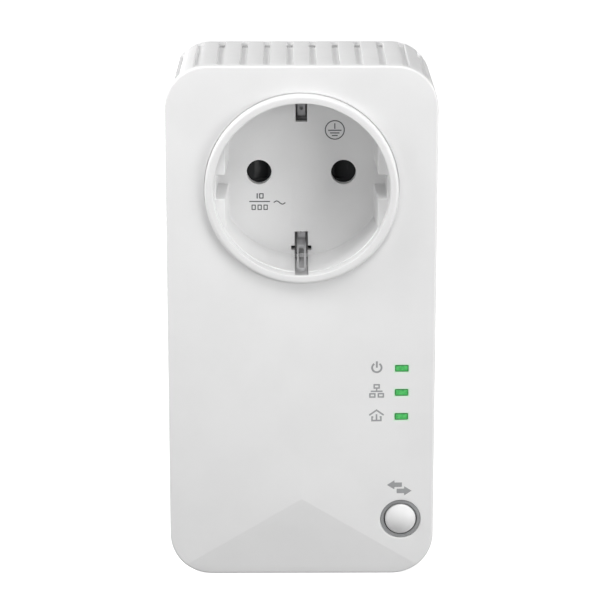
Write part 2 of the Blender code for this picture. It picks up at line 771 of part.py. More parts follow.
def make_wires():
    """From beside each socket contact, out behind the insert's skirt and down to the power board."""
    for name, side, look in (("line_wire", -1, BROWN_WIRE), ("neutral_wire", 1, BLUE_SLEEVE)):
        route = [(side * 8.0, -12.2, -6.6), (side * 8.0, -15.0, -9.5), (side * 8.0, -20.0, -11.0)]
        route += [(side * 8.0, -22.8, -14.5), (side * 8.0, -22.8, -22.0), (side * 8.0, -22.85, -27.6)]
        curve_object(name, smooth_route(route), 0.75, look, 2)


# Boards ------------------------------------------------------------------------------------------


def make_boards():
    box_object("main_pcb", (-25.5, 25.5), MAIN_Y, (-66.0, -28.0), BOARD_GREEN)
    half = [(26.0, -29.0), (26.0, -80.4), (19.2, -80.4), (19.2, -88.0)]
    outline = half + [(-x, z) for x, z in half[::-1]]
    bm = bmesh.new()
    prism(bm, outline, MODEM_Y)
    board = add_object("modem_pcb", bm, BOARD_GREEN)
    places = [(side * BOARD_POST[0], BOARD_POST[1]) for side in (-1, 1)]
    cut(board, lambda bm: draw_posts(bm, places, 1.25, (MODEM_Y[0] - 1.0, MODEM_Y[1] + 1.0)))
    for name, place in zip(("board_screw_left", "board_screw_right"), places):
        head = MODEM_Y[1] + GAP
        profile = [(0.0, head + 1.2), (1.5, head + 1.2), (1.9, head + 0.8), (1.9, head)]
        profile += [(0.9, head), (0.9, head - 8.0), (0.0, head - 8.0)]
        turned_object(name, profile, STEEL, 12, place, head)
    between = (MODEM_Y[1] + GAP, MAIN_Y[0] - GAP)
    box_object("board_connector", (-24.5, -22.0), between, (-62.0, -50.0), DARK_PLASTIC, 0.3)


def make_power_parts():
    """The parts on the front of the power board."""
    top = MAIN_Y[0] - GAP
    base = (top - 2.0, top)
    transformer = box_object("power_transformer", (-19.5, -4.5), base, (-52.0, -38.0), DARK_PLASTIC)
    join(transformer, lambda bm: box(bm, (-17.0, -7.0), (top - 11.0, top - 1.5), (-50.5, -39.5)))
    join(transformer, lambda bm: box(bm, (-19.0, -5.0), (top - 9.0, top - 3.5), (-47.5, -42.5)))
    can = [(0.0, -8.0), *quarter_round(5.0, -8.0, 0.6, 2), (5.0, 5.2), (4.6, 5.8), (5.0, 6.4)]
    can += [(5.0, 7.6), (4.6, 8.0), (0.0, 8.0)]
    lying_object("bulk_capacitor", can, BLUE_SLEEVE, (11.0, top - 5.2, -34.2))
    box_object("x_capacitor", (2.0, 15.0), (top - 11.0, top), (-48.0, -42.0), YELLOW, 0.4)
    ring = [
        (4.4 + 2.1 * math.cos(math.pi / 4 * i), 2.1 * math.sin(math.pi / 4 * i)) for i in range(8)
    ]
    lying_object("filter_choke", ring, FERRITE, (14.0, top - 6.6, -57.5), 18)
    tube = [(0.0, -5.0), (2.5, -5.0), (2.5, -3.2), (2.2, -3.2)]
    tube += [(radius, -along) for radius, along in tube[::-1]]
    lying_object("fuse", tube, NICKEL, (-13.0, top - 2.8, -32.5), 14)
    coupler = box_object("coupling_transformer", (-19.0, -9.5), base, (-64.0, -55.0), DARK_PLASTIC)
    join(coupler, lambda bm: box(bm, (-17.8, -10.7), (top - 7.0, top - 1.5), (-63.0, -56.0)))


def make_network_parts():
    """The parts on the network board: radio shield and lights in front, magnetics and jack behind."""
    back = MODEM_Y[1] + GAP
    front = MODEM_Y[0] - GAP
    box_object("lan_magnetics", (-6.5, 6.5), (back, back + 5.2), (-68.0, -60.5), DARK_PLASTIC, 0.3)
    outer = rectangle((-18.0, 8.0), (-64.0, -38.0))
    inner = rectangle((-18.0 + GAP, 8.0 - GAP), (-64.0 + GAP, -38.0 - GAP))
    bm = bmesh.new()
    levels = [(inner, front - 2.3), (inner, front), (outer, front), (outer, front - 2.6)]
    loft(bm, [[(x, y, z) for x, z in outline] for outline, y in levels])
    add_object("chip_shield", bm, NICKEL)
    make_lights(front)
    make_switches(front, back)
    make_jack()


def make_lights(front):
    width, height = (side / 2 for side in LIGHT_SIZE)
    for use, z in LIGHT_ZS.items():
        led_x, led_z = (LIGHT_X - 1.0, LIGHT_X + 1.0), (z - 0.65, z + 0.65)
        box_object(f"led_{use}", led_x, (front - 0.9, front), led_z, CLEAR, 0.1)
        face = FACE_Y - face_rise(LIGHT_X, z)
        flange = (COVER_INNER_Y + GAP, COVER_INNER_Y + 1.5)
        levels = [(0.0, face), (0.0, flange[0]), (0.5, flange[0]), (0.5, flange[1]), (0.0, flange[1])]
        levels.append((0.0, front - 1.2))
        rings = []
        for grown, y in levels:
            span_x = (LIGHT_X - width - grown, LIGHT_X + width + grown)
            outline = rectangle(span_x, (z - height - grown, z + height + grown))
            rings.append([(x, y, up) for x, up in outline])
        bm = bmesh.new()
        loft(bm, rings)
        add_object(f"light_pipe_{use}", bm, CLEAR, (LIGHT_X, face, z))


def make_switches(front, back):
    half = 2.6
    spans = (BUTTON_X - half, BUTTON_X + half), (BUTTON_Z - half, BUTTON_Z + half)
    box_object("pair_switch", spans[0], (front - 3.4, front), spans[1], DARK_PLASTIC, 0.3)
    plunger = (front - 4.8, front - 3.7)
    centre = (BUTTON_X, BUTTON_Z)
    profile = [(0.0, plunger[0]), (1.7, plunger[0]), (1.7, plunger[1]), (0.0, plunger[1])]
    turned_object("pair_switch_plunger", profile, GREY_PLASTIC, 16, centre, plunger[0])
    bezel_back = COVER_INNER_Y + 1.5
    flange = (bezel_back + GAP, bezel_back + 1.0)
    dome_r, dome_rise, edge_y = BUTTON_R, 1.3, FACE_Y - 0.3
    sphere = (dome_r**2 + dome_rise**2) / (2 * dome_rise)
    dome = []
    for step in range(5):
        radius = dome_r * step / 4
        drop = sphere - math.sqrt(sphere**2 - radius**2)
        dome.append((radius, edge_y - dome_rise + drop))
    profile = [*dome, (dome_r, flange[0]), (4.3, flange[0]), (4.3, flange[1]), (1.5, flange[1])]
    profile += [(1.5, plunger[0] - GAP), (0.0, plunger[0] - GAP)]
    turned_object("pair_button", profile, PLASTIC, 28, centre, edge_y)
    inner, outer = BEZEL_R
    bezel = [(inner, FACE_Y + 0.25), (outer, FACE_Y + 0.25), (outer, COVER_INNER_Y + GAP)]
    bezel += [(BEZEL_FLANGE_R, COVER_INNER_Y + GAP), (BEZEL_FLANGE_R, bezel_back), (inner, bezel_back)]
    turned_object("button_bezel", bezel, GREY_PLASTIC, 28, centre, FACE_Y)
    body_x = (RESET_X - 2.2, RESET_X + 2.2)
    box_object("reset_switch", body_x, (back, back + 1.8), (-87.3, -84.0), DARK_PLASTIC, 0.2)
    bm = bmesh.new()
    prism(bm, circle(0.6, (RESET_X, RESET_Y), 12), (-88.4, -87.6), "Z")
    add_object("reset_plunger", bm, GREY_PLASTIC, (RESET_X, RESET_Y, -88.0))


def jack_shell(bm, open_z, closed_z):
    """An open-bottomed shell round the jack, one sheet thick."""
    sheet = 0.3
    outer = rectangle((-JACK_X, JACK_X), JACK_Y)
    inner = rectangle((-JACK_X + sheet, JACK_X - sheet), (JACK_Y[0] + sheet, JACK_Y[1] - sheet))
    levels = [(inner, closed_z - sheet), (inner, open_z), (outer, open_z), (outer, closed_z)]
    loft(bm, [[(x, y, up) for x, y in outline] for outline, up in levels])


def make_jack():
    bm = bmesh.new()
    jack_shell(bm, *JACK_Z)
    add_object("jack_shield", bm, NICKEL)
    play = 0.6
    body_x = (-JACK_X + play, JACK_X - play)
    body_y = (JACK_Y[0] + play, JACK_Y[1] - play)
    body_z = (JACK_Z[0] + 0.4, JACK_Z[1] - play)
    body = box_object("jack_body", body_x, body_y, body_z, DARK_PLASTIC)
    mouth = (JACK_Z[0] - 1.0, JACK_Z[0] + 13.0)
    half = [(5.9, -33.2), (5.9, -26.2), (3.1, -26.2), (3.1, -24.6), (1.6, -24.6), (1.6, -23.2)]
    port = half + [(-x, y) for x, y in half[::-1]]
    cut(body, lambda bm: prism(bm, port, mouth, "Z"))
    pitch, wire, count = 1.02, 0.22, 8
    base, tip = mouth[1] - GAP, mouth[1] - 8.8
    comb = [(4.6, base), (4.6, base - 0.6)]
    for i in range(count):
        x = (count / 2 - 0.5 - i) * pitch
        comb += [(x + wire, base - 0.6), (x + wire, tip), (x - wire, tip), (x - wire, base - 0.6)]
    comb += [(-4.6, base - 0.6), (-4.6, base)]
    bm = bmesh.new()
    prism(bm, comb, (-32.9, -32.5))
    for vert in bm.verts:
        vert.co.y += max(base - 0.6 - vert.co.z, 0.0) * 0.16
    add_object("jack_contacts", bm, BRASS)


def parent_to_root():
    """Hangs every piece from one empty at the plug's end face."""
    root = bpy.data.objects.new("powerline_adapter", None)
    bpy.context.collection.objects.link(root)
    for obj in bpy.data.objects:
        if obj is not root:
            obj.parent = root


def main():
    clear_scene()
    make_front_cover()
    make_rear_cover()
    make_housing_screws()
    make_socket_insert()
    make_shutter()
    make_shutter_spring()
    make_contact_carrier()
    make_line_contacts()
    make_earthing()
    make_plug_body()
    make_plug_metal()
    make_wires()
    make_boards()
    make_power_parts()
    make_network_parts()
    parent_to_root()


main()
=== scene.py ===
import math

import bmesh
import bpy
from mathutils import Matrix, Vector


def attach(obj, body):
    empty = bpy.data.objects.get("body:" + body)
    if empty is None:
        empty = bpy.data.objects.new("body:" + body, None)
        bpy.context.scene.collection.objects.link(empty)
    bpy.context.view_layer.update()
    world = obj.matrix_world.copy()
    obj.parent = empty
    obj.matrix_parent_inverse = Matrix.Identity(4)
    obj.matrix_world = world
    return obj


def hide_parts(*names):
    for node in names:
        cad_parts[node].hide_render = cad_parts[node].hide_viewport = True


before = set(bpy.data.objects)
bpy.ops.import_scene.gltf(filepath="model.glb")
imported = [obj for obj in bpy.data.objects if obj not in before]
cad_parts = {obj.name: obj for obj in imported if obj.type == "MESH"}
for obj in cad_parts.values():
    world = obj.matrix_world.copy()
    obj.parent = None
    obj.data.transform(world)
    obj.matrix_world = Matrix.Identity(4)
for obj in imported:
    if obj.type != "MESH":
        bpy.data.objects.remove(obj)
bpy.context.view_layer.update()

# The adapter in millimetres: +X right, +Y towards the wall, +Z up, origin at the plug's end face.
MM = 0.001

# Planes from front to back
RIM_Y = -50.5
FACE_Y = -48.5
PARTING_Y = -46.6
COVER_BACK_Y = -46.5
FLANGE_FRONT_Y = -46.2  # flanges that hold the inserts behind the front cover
FLANGE_BACK_Y = -45.0
FLOOR_Y = -33.0
FLOOR_BACK_Y = -31.0
BACK_INNER_Y = -19.0
BACK_Y = -17.0
PIN_TIP_Y = 19.0
PRINT_Y = (FACE_Y - 0.03, FACE_Y + 0.15)  # front and back of a pictogram

# Housing
HALF_WIDTH = 29.9
TOP_Z = 27.4
BOTTOM_Z = -90.6
CORNER_R = 9.5
WALL = 2.0
SEAM = 0.15
DRAFT = 0.45  # how much narrower each side is at the back
FRONT_CUT_Y = -52.0  # where a cutter for the front cover starts and ends
BEHIND_CUT_Y = -42.0
POSTS = [(x, z) for z in (20.7, -83.9) for x in (-23.2, 23.2)]

# The folded front: a ridge that rises to an apex, with a triangle below it
RIDGE_TOP_Z = -25.0
APEX_Z = -71.8
APEX_RISE = 1.8
SLICE = 1.3

# Vent grooves and the slots at their ends, numbered from the left
VENT_PITCH = 5.08
VENT_HALF = 0.8
VENT_DEPTH = 0.8
VENT_END_Y = -18.6
VENT_SLOT_Y = (VENT_END_Y - 3.1, VENT_END_Y - 0.1)
VENT_SLOT_HALF = 0.66
TOP_VENTS = tuple(range(12))
BOTTOM_VENTS = (0, 1, 2, 9, 10, 11)
TOP_SLOTS = tuple(range(2, 10))
BOTTOM_SLOTS = (2, 9)

# Socket and plug
PIN_X = 9.5
COLLAR_R = 21.35
MOUTH_R = 19.45
RECESS_R = 19.3
RIB_DROP = 3.4  # how far the guide ribs start behind the rim

# Lights and button
LIGHT_X = 22.4
LIGHT_ZS = {"power": -41.4, "ethernet": -47.05, "powerline": -52.7}
LIGHT_HALF = (1.5, 0.775)
BUTTON = (22.4, -77.2)

# Meshing
CORNER_STEPS = 20
ROUND_STEPS = 5
SHARP = math.radians(32)  # an edge that turns more than this is shaded as a crease


# Outlines ----------------------------------------------------------------------------------------


def circle(radius, centre=(0.0, 0.0), segments=64):
    turn = 2 * math.pi / segments
    return [
        (centre[0] + radius * math.cos(i * turn), centre[1] + radius * math.sin(i * turn))
        for i in range(segments)
    ]


def rectangle(a, b):
    """Corners of the rectangle that spans the ranges a and b."""
    return [(a[0], b[0]), (a[1], b[0]), (a[1], b[1]), (a[0], b[1])]


def rounded(points, radius, steps=5, closed=True, least_turn=20):
    """The outline with its real corners rounded, and the points along its curves kept."""
    result = []
    count = len(points)
    for i, point in enumerate(points):
        here = Vector(point)
        if not closed and i in (0, count - 1):
            result.append(tuple(here))
            continue
        back = Vector(points[i - 1]) - here
        ahead = Vector(points[(i + 1) % count]) - here
        if math.degrees(math.pi - back.angle(ahead)) < least_turn:
            result.append(tuple(here))
            continue
        reach = min(radius, back.length * 0.49, ahead.length * 0.49)
        start = here + back.normalized() * reach
        end = here + ahead.normalized() * reach
        for step in range(steps + 1):
            t = step / steps
            result.append(tuple(start * (1 - t) ** 2 + here * 2 * t * (1 - t) + end * t * t))
    return result


def offset(points, distance):
    """The outline moved inwards by a distance, for one that runs anticlockwise."""
    moved = []
    for i, point in enumerate(points):
        before = (Vector(point) - Vector(points[i - 1])).normalized()
        after = (Vector(points[(i + 1) % len(points)]) - Vector(point)).normalized()
        across = Vector((-before.y - after.y, before.x + after.x)).normalized()
        reach = distance / max(across.dot(Vector((-after.y, after.x))), 0.4)
        moved.append(tuple(Vector(point) + across * reach))
    return moved


def quarter(radius, steps):
    """(worn, left) down a rounded edge: how far its side has come in, and its end has yet to go."""
    for step in range(steps):
        angle = math.pi / 2 * step / (steps - 1)
        yield radius * (1 - math.cos(angle)), radius * (1 - math.sin(angle))


def anticlockwise(points):
    turned_round = sum(
        a[0] * b[1] - b[0] * a[1] for a, b in zip(points, points[1:] + points[:1])
    )
    return points if turned_round > 0 else points[::-1]


def housing_outline(inset, steps=CORNER_STEPS):
    points = []
    radius = CORNER_R - inset
    side = HALF_WIDTH - CORNER_R
    hubs = ((1, TOP_Z - CORNER_R), (-1, TOP_Z - CORNER_R))
    hubs += ((-1, BOTTOM_Z + CORNER_R), (1, BOTTOM_Z + CORNER_R))
    for quarter, (right, hub_z) in enumerate(hubs):
        for step in range(steps + 1):
            angle = math.pi / 2 * (quarter + step / steps)
            x = right * side + radius * math.cos(angle)
            points.append((x, hub_z + radius * math.sin(angle)))
    return points


def keyed_outline(radius, flat, key_half, key_reach, steps=40):
    """A round outline with two flat sides, each with a key that stands out in its middle."""
    start = math.acos(flat / radius)
    points = []
    for side in (1, -1):
        for step in range(steps + 1):
            angle = start + (math.pi - 2 * start) * step / steps
            points.append((side * radius * math.cos(angle), side * radius * math.sin(angle)))
        points.append((-side * flat, side * key_half))
        points.append((-side * key_reach, side * key_half))
        points.append((-side * key_reach, -side * key_half))
        points.append((-side * flat, -side * key_half))
    return points


def strip_outline(path, thickness):
    """The outline of a strip of even thickness along a path."""
    left, right = [], []
    for i, point in enumerate(path):
        here = Vector(point)
        before = (here - Vector(path[i - 1])).normalized() if i else None
        after = (Vector(path[i + 1]) - here).normalized() if i < len(path) - 1 else None
        along = ((before or after) + (after or before)).normalized()
        across = Vector((-along.y, along.x))
        reach = thickness / 2 / max(along.dot(after or before), 0.3)
        left.append(tuple(here + across * reach))
        right.append(tuple(here - across * reach))
    return anticlockwise(left + right[::-1])


# Bodies ------------------------------------------------------------------------------------------


def spot(axis, a, b, along):
    """A point from its two coordinates across an axis and the one along it."""
    return {"X": (along, a, b), "Y": (a, along, b), "Z": (a, b, along)}[axis]


def loft(bm, rings):
    """One closed body through rings of equal point counts."""
    loops = [[bm.verts.new(point) for point in ring] for ring in rings]
    for near, far in zip(loops, loops[1:]):
        for i in range(len(near)):
            j = (i + 1) % len(near)
            bm.faces.new((near[i], near[j], far[j], far[i]))
    bm.faces.new(loops[0])
    bm.faces.new(loops[-1])


def stack(bm, levels, axis="Y"):
    """A loft through (outline, place along the axis) levels."""
    loft(bm, [[spot(axis, a, b, place) for a, b in outline] for outline, place in levels])


def prism(bm, outline, along, axis="Y", edge=0.0):
    """A prism along an axis, its end edges rounded by the radius edge."""
    if not edge:
        stack(bm, [(outline, place) for place in along], axis)
        return
    outline = anticlockwise(outline)
    levels = []
    for end, way in ((along[0], 1), (along[1], -1)):
        part = [
            (offset(outline, left), end + way * worn) for worn, left in quarter(edge, ROUND_STEPS)
        ]
        levels += part if way > 0 else part[::-1]
    stack(bm, levels, axis)


def turned(bm, profile, centre=(0.0, 0.0), segments=64):
    """A body turned about an axis along Y through centre (x, z), from a closed (radius, y) profile."""
    rings = []
    for radius, y in profile:
        outline = circle(radius, centre, segments) if radius > 0 else [centre]
        rings.append([bm.verts.new((x, y, z)) for x, z in outline])
    for ring, following in zip(rings, rings[1:] + rings[:1]):
        for i in range(segments):
            j = (i + 1) % segments
            corners = (
                ring[i % len(ring)],
                ring[j % len(ring)],
                following[j % len(following)],
                following[i % len(following)],
            )
            distinct = list(dict.fromkeys(corners))
            if len(distinct) > 2:
                bm.faces.new(distinct)


def temporary(draw):
    bm = bmesh.new()
    draw(bm)
    bmesh.ops.recalc_face_normals(bm, faces=bm.faces)
    mesh = bpy.data.meshes.new("shape")
    bm.to_mesh(mesh)
    bm.free()
    obj = bpy.data.objects.new("shape", mesh)
    bpy.context.scene.collection.objects.link(obj)
    return obj


def carved(base, *steps):
    """The body that base draws, with each step's bodies joined to it or cut from it."""
    target = temporary(base)
    helpers = []
    for operation, draw in steps:
        helper = temporary(draw)
        modifier = target.modifiers.new(operation, "BOOLEAN")
        modifier.operation = operation
        modifier.object = helper
        helpers.append(helper)
    bm = bmesh.new()
    bm.from_object(target, bpy.context.evaluated_depsgraph_get())
    for obj in (target, *helpers):
        bpy.data.meshes.remove(obj.data)
    bmesh.ops.remove_doubles(bm, verts=bm.verts, dist=1e-4)
    return bm


def cut(draw):
    return ("DIFFERENCE", draw)


def join(draw):
    return ("UNION", draw)


def publish(name, bm, look, body="housing", nodes=(), slot="", creases=None):
    """Makes the piece, in metres, gives it its look, and hangs it on its CAD body."""
    bmesh.ops.recalc_face_normals(bm, faces=bm.faces)
    for edge in bm.edges:
        if creases and creases(*(vert.co for vert in edge.verts)):
            edge.smooth = False
        elif len(edge.link_faces) == 2:
            edge.smooth = edge.calc_face_angle(0.0) < SHARP
    for face in bm.faces:
        face.smooth = True
    bmesh.ops.scale(bm, verts=bm.verts, vec=(MM, MM, MM))
    mesh = bpy.data.meshes.new(name)
    bm.to_mesh(mesh)
    bm.free()
    mesh.materials.append(look)
    obj = bpy.data.objects.new(name, mesh)
    bpy.context.scene.collection.objects.link(obj)
    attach(obj, body)
    if nodes:
        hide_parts(*nodes)
    return obj


def shape(name, draw, look, **options):
    bm = bmesh.new()
    draw(bm)
    return publish(name, bm, look, **options)


# Materials ---------------------------------------------------------------------------------------


class Look:
    """A Principled material with small helpers for its node tree."""

    def __init__(self, name, colour, roughness, metallic=0.0):
        self.material = bpy.data.materials.new(name)
        self.material.use_nodes = True
        self.tree = self.material.node_tree
        self.shader = self.tree.nodes["Principled BSDF"]
        self.colour = colour
        self.roughness = roughness
        self.set("Base Color", (*colour, 1.0))
        self.set("Roughness", roughness)
        self.set("Metallic", metallic)
        self.place = self.tree.nodes.new("ShaderNodeTexCoord").outputs["Object"]

    def set(self, socket, value):
        self.shader.inputs[socket].default_value = value

    def link(self, output, socket):
        self.tree.links.new(output, socket)

    def math(self, operation, *values):
        node = self.tree.nodes.new("ShaderNodeMath")
        node.operation = operation
        for socket, value in zip(node.inputs, values):
            if isinstance(value, (int, float)):
                socket.default_value = value
            else:
                self.link(value, socket)
        return node.outputs[0]

    def ramp(self, value, low, high, to_low, to_high):
        node = self.tree.nodes.new("ShaderNodeMapRange")
        node.interpolation_type = "SMOOTHSTEP"
        self.link(value, node.inputs["Value"])
        for name, number in (("From Min", low), ("From Max", high)):
            node.inputs[name].default_value = number
        for name, number in (("To Min", to_low), ("To Max", to_high)):
            node.inputs[name].default_value = number
        return node.outputs["Result"]

    def axes(self):
        node = self.tree.nodes.new("ShaderNodeSeparateXYZ")
        self.link(self.place, node.inputs[0])
        return node.outputs

    def noise(self, size, stretch=(1.0, 1.0, 1.0), detail=3.0):
        """Noise whose features are about size millimetres across, longer along a stretched axis."""
        mapping = self.tree.nodes.new("ShaderNodeMapping")
        mapping.inputs["Scale"].default_value = [1 / (size * MM * s) for s in stretch]
        self.link(self.place, mapping.inputs["Vector"])
        node = self.tree.nodes.new("ShaderNodeTexNoise")
        node.inputs["Scale"].default_value = 1.0
        node.inputs["Detail"].default_value = detail
        self.link(mapping.outputs[0], node.inputs["Vector"])
        return node.outputs["Fac"]

    def mix(self, share, first, second, blend="MIX"):
        node = self.tree.nodes.new("ShaderNodeMix")
        node.data_type = "RGBA"
        node.blend_type = blend
        for index, value in ((0, share), (6, first), (7, second)):
            socket = node.inputs[index]
            if isinstance(value, (int, float)):
                socket.default_value = value
            elif isinstance(value, tuple):
                socket.default_value = (*value, 1.0)
            else:
                self.link(value, socket)
        return node.outputs[2]

    def vary_colour(self, value, amount, low=0.35, high=0.65):
        """Lets the colour drift by a share of itself, either way."""
        darker = tuple(part * (1 - amount) for part in self.colour)
        lighter = tuple(min(part * (1 + amount), 1.0) for part in self.colour)
        varied = self.mix(self.ramp(value, low, high, 0.0, 1.0), darker, lighter)
        self.link(varied, self.shader.inputs["Base Color"])
        return varied

    def vary_roughness(self, value, amount):
        spread = self.ramp(value, 0.3, 0.7, self.roughness - amount, self.roughness + amount)
        self.link(spread, self.shader.inputs["Roughness"])

    def bump(self, value, height_mm, strength=1.0):
        node = self.tree.nodes.new("ShaderNodeBump")
        node.inputs["Distance"].default_value = height_mm * MM
        node.inputs["Strength"].default_value = strength
        self.link(value, node.inputs["Height"])
        self.link(node.outputs[0], self.shader.inputs["Normal"])


def plastic(name, colour, roughness, grain=0.16, height=0.004, drift=0.012):
    """Moulded plastic: a fine spark-eroded grain, with slight flow marks and uneven gloss."""
    look = Look(name, colour, roughness)
    look.set("IOR", 1.49)
    look.vary_colour(look.noise(14.0, detail=4.0), drift)
    look.vary_roughness(look.noise(2.5), 0.05)
    look.bump(look.noise(grain, detail=2.0), height, 0.6)
    return look


def metal(name, colour, roughness, stretch=(1.0, 8.0, 1.0), size=0.12, drift=0.06, metallic=1.0):
    """Plated or drawn metal, with fine marks along the way it was worked."""
    look = Look(name, colour, roughness, metallic)
    look.vary_colour(look.noise(3.0), drift)
    look.vary_roughness(look.noise(size, stretch), 0.08)
    look.bump(look.noise(size, stretch, 2.0), 0.0015, 0.5)
    return look


def board(name, colour):
    """Solder mask over copper: tracks show as slightly lighter, raised bands."""
    look = Look(name, colour, 0.35)
    brick = look.tree.nodes.new("ShaderNodeTexBrick")
    brick.offset = 0.37
    for socket, value in (("Scale", 170.0), ("Mortar Size", 0.08), ("Bias", 0.2), ("Brick Width", 0.9)):
        brick.inputs[socket].default_value = value
    turn = look.tree.nodes.new("ShaderNodeMapping")
    turn.inputs["Rotation"].default_value = (math.pi / 2, 0.0, 0.0)
    look.link(look.place, turn.inputs["Vector"])
    look.link(turn.outputs[0], brick.inputs["Vector"])
    tracks = look.mix(brick.outputs["Fac"], colour, tuple(part * 1.9 + 0.01 for part in colour))
    look.link(tracks, look.shader.inputs["Base Color"])
    look.vary_roughness(look.noise(1.5), 0.08)
    look.bump(brick.outputs["Fac"], 0.03, 0.7)
    return look


def beyond_windows(look):
    """Distance out from the edge of the nearest light window, negative inside it."""
    x, _, z = look.axes()
    half_x, half_z = (half * MM for half in LIGHT_HALF)
    side = look.math("ABSOLUTE", look.math("SUBTRACT", x, LIGHT_X * MM))
    side = look.math("SUBTRACT", side, half_x)
    nearest = None
    for height in LIGHT_ZS.values():
        up = look.math("ABSOLUTE", look.math("SUBTRACT", z, height * MM))
        away = look.math("MAXIMUM", side, look.math("SUBTRACT", up, half_z))
        nearest = away if nearest is None else look.math("MINIMUM", nearest, away)
    return nearest


def cover_look():
    """White plastic, with a painted glow: the soft green light that spills out round each window, painted
    into its colour.
    """
    look = plastic("white_cover", WHITE, 0.44)
    # Painted glow: within half a millimetre of each window the base colour turns pale green, standing in
    # for the light that spills out.
    painted_glow = look.ramp(beyond_windows(look), 0.0, 0.5 * MM, 0.6, 0.0)
    plain = look.shader.inputs["Base Color"].links[0].from_socket
    look.link(look.mix(painted_glow, plain, (0.55, 0.93, 0.60)), look.shader.inputs["Base Color"])
    return look


def light_look():
    """A lit green window, brightest in its middle."""
    look = Look("green_light", (0.03, 0.36, 0.06), 0.28)
    look.set("IOR", 1.49)
    look.vary_roughness(look.noise(0.8), 0.05)
    rim = look.ramp(beyond_windows(look), -0.38 * MM, -0.04 * MM, 0.0, 0.85)
    patchy = look.math("ADD", rim, look.ramp(look.noise(0.9), 0.4, 0.7, 0.0, 0.25))
    colour = look.mix(patchy, (0.065, 0.40, 0.10), (0.015, 0.13, 0.03))
    look.link(colour, look.shader.inputs["Base Color"])
    look.link(colour, look.shader.inputs["Emission Color"])
    look.set("Emission Strength", 0.4)
    look.bump(look.noise(0.3), 0.004, 0.4)
    return look


WHITE = (0.80, 0.80, 0.80)
cover_white = cover_look().material
white = plastic("white_plastic", WHITE, 0.44).material
# The socket insert is the same white plastic made a little darker: painted shade for the deep recess. Its
# lower roughness and finer grain are its own finish.
shaded_socket_white = plastic("white_socket_shaded", (0.77, 0.77, 0.77), 0.36, height=0.002).material
cap_white = plastic("white_cap", (0.78, 0.78, 0.78), 0.4).material
grey = plastic("grey_plastic", (0.30, 0.305, 0.31), 0.45, drift=0.04).material
dark = plastic("dark_plastic", (0.006, 0.007, 0.008), 0.55, drift=0.1).material
print_grey = plastic("grey_print", (0.33, 0.335, 0.34), 0.5, height=0.001, drift=0.03).material
mark_grey = plastic("grey_mark", (0.10, 0.104, 0.11), 0.5, height=0.001, drift=0.05).material
green_light = light_look().material
nickel = metal("nickel", (0.66, 0.65, 0.62), 0.24).material
spring = metal("spring_steel", (0.62, 0.62, 0.63), 0.4, metallic=0.6).material
lining = metal("dull_steel", (0.58, 0.58, 0.585), 0.6, metallic=0.35).material
brass = metal("brass", (0.78, 0.57, 0.25), 0.28, drift=0.1).material
screw_steel = metal("screw_steel", (0.48, 0.48, 0.50), 0.32, (1.0, 1.0, 1.0), 0.3).material
mask_green = board("solder_mask", (0.012, 0.10, 0.035)).material
yellow = plastic("yellow_case", (0.80, 0.52, 0.05), 0.45, 0.4, 0.01, 0.05).material
sleeve_blue = plastic("blue_sleeve", (0.02, 0.06, 0.26), 0.32, 0.5, 0.006, 0.08).material
wire_brown = plastic("brown_wire", (0.13, 0.05, 0.02), 0.4, 0.3, 0.006, 0.08).material
ferrite = plastic("ferrite", (0.045, 0.045, 0.05), 0.6, 0.25, 0.02, 0.15).material


# Housing -----------------------------------------------------------------------------------------


def face_rise(x, z):
    """How far the folded front face stands forward of its edge."""
    if z >= RIDGE_TOP_Z:
        return 0.0
    grown = min((RIDGE_TOP_Z - z) / (RIDGE_TOP_Z - APEX_Z), 1.0)
    above = APEX_RISE * grown * (1 - abs(x) / HALF_WIDTH)
    below = APEX_RISE * (z - BOTTOM_Z) / (APEX_Z - BOTTOM_Z)
    return max(min(above, below), 0.0)


def on_fold(*ends):
    """Whether an edge lies on the ridge or on one of the two creases below it."""
    for point in ends:
        if point.y > FACE_Y + 0.01:
            return False
    middle = (ends[0] + ends[1]) / 2
    ridge = all(abs(point.x) < 1e-3 for point in ends) and APEX_Z < middle.z < RIDGE_TOP_Z - 4
    drop = (APEX_Z - BOTTOM_Z) / HALF_WIDTH
    crease = all(abs(point.z - APEX_Z + abs(point.x) * drop) < 2e-3 for point in ends)
    return ridge or crease


def fold_front(bm):
    """Slices the flat front finely, then lifts it into the ridge and the triangle below."""
    front = [face for face in bm.faces if face.calc_center_median().y < FACE_Y + 0.01]
    bmesh.ops.triangulate(bm, faces=front)
    count = int((RIDGE_TOP_Z - BOTTOM_Z) / SLICE)
    planes = [((0, 0, RIDGE_TOP_Z - SLICE * i), (0, 0, 1)) for i in range(count)]
    planes += [((0, 0, APEX_Z), (0, 0, 1)), ((0, 0, 0), (1, 0, 0))]
    planes += [((0, 0, APEX_Z), (APEX_Z - BOTTOM_Z, 0, side * HALF_WIDTH)) for side in (1, -1)]
    for place, normal in planes:
        faces = [face for face in bm.faces if all(v.co.y < FACE_Y + 1e-3 for v in face.verts)]
        geometry = {*faces}
        for face in faces:
            geometry.update(face.edges)
            geometry.update(face.verts)
        bmesh.ops.bisect_plane(bm, geom=list(geometry), plane_co=place, plane_no=normal, dist=1e-4)
    for vert in bm.verts:
        share = min(max((FACE_Y + 0.6 - vert.co.y) / 0.3, 0.0), 1.0)
        vert.co.y -= share * face_rise(vert.co.x, vert.co.z)


def flared(radius, lip, front, face, back):
    """A hole cutter's profile, with a small rounded lip where it breaks the front face."""
    profile = [(0.0, front), (radius + lip, front)]
    profile += [(radius + left, face + worn) for worn, left in quarter(lip, ROUND_STEPS)]
    return [*profile, (radius, back), (0.0, back)]


def window_outline(half_x, half_z, x, z, radius=0.28):
    return rounded(rectangle((x - half_x, x + half_x), (z - half_z, z + half_z)), radius)


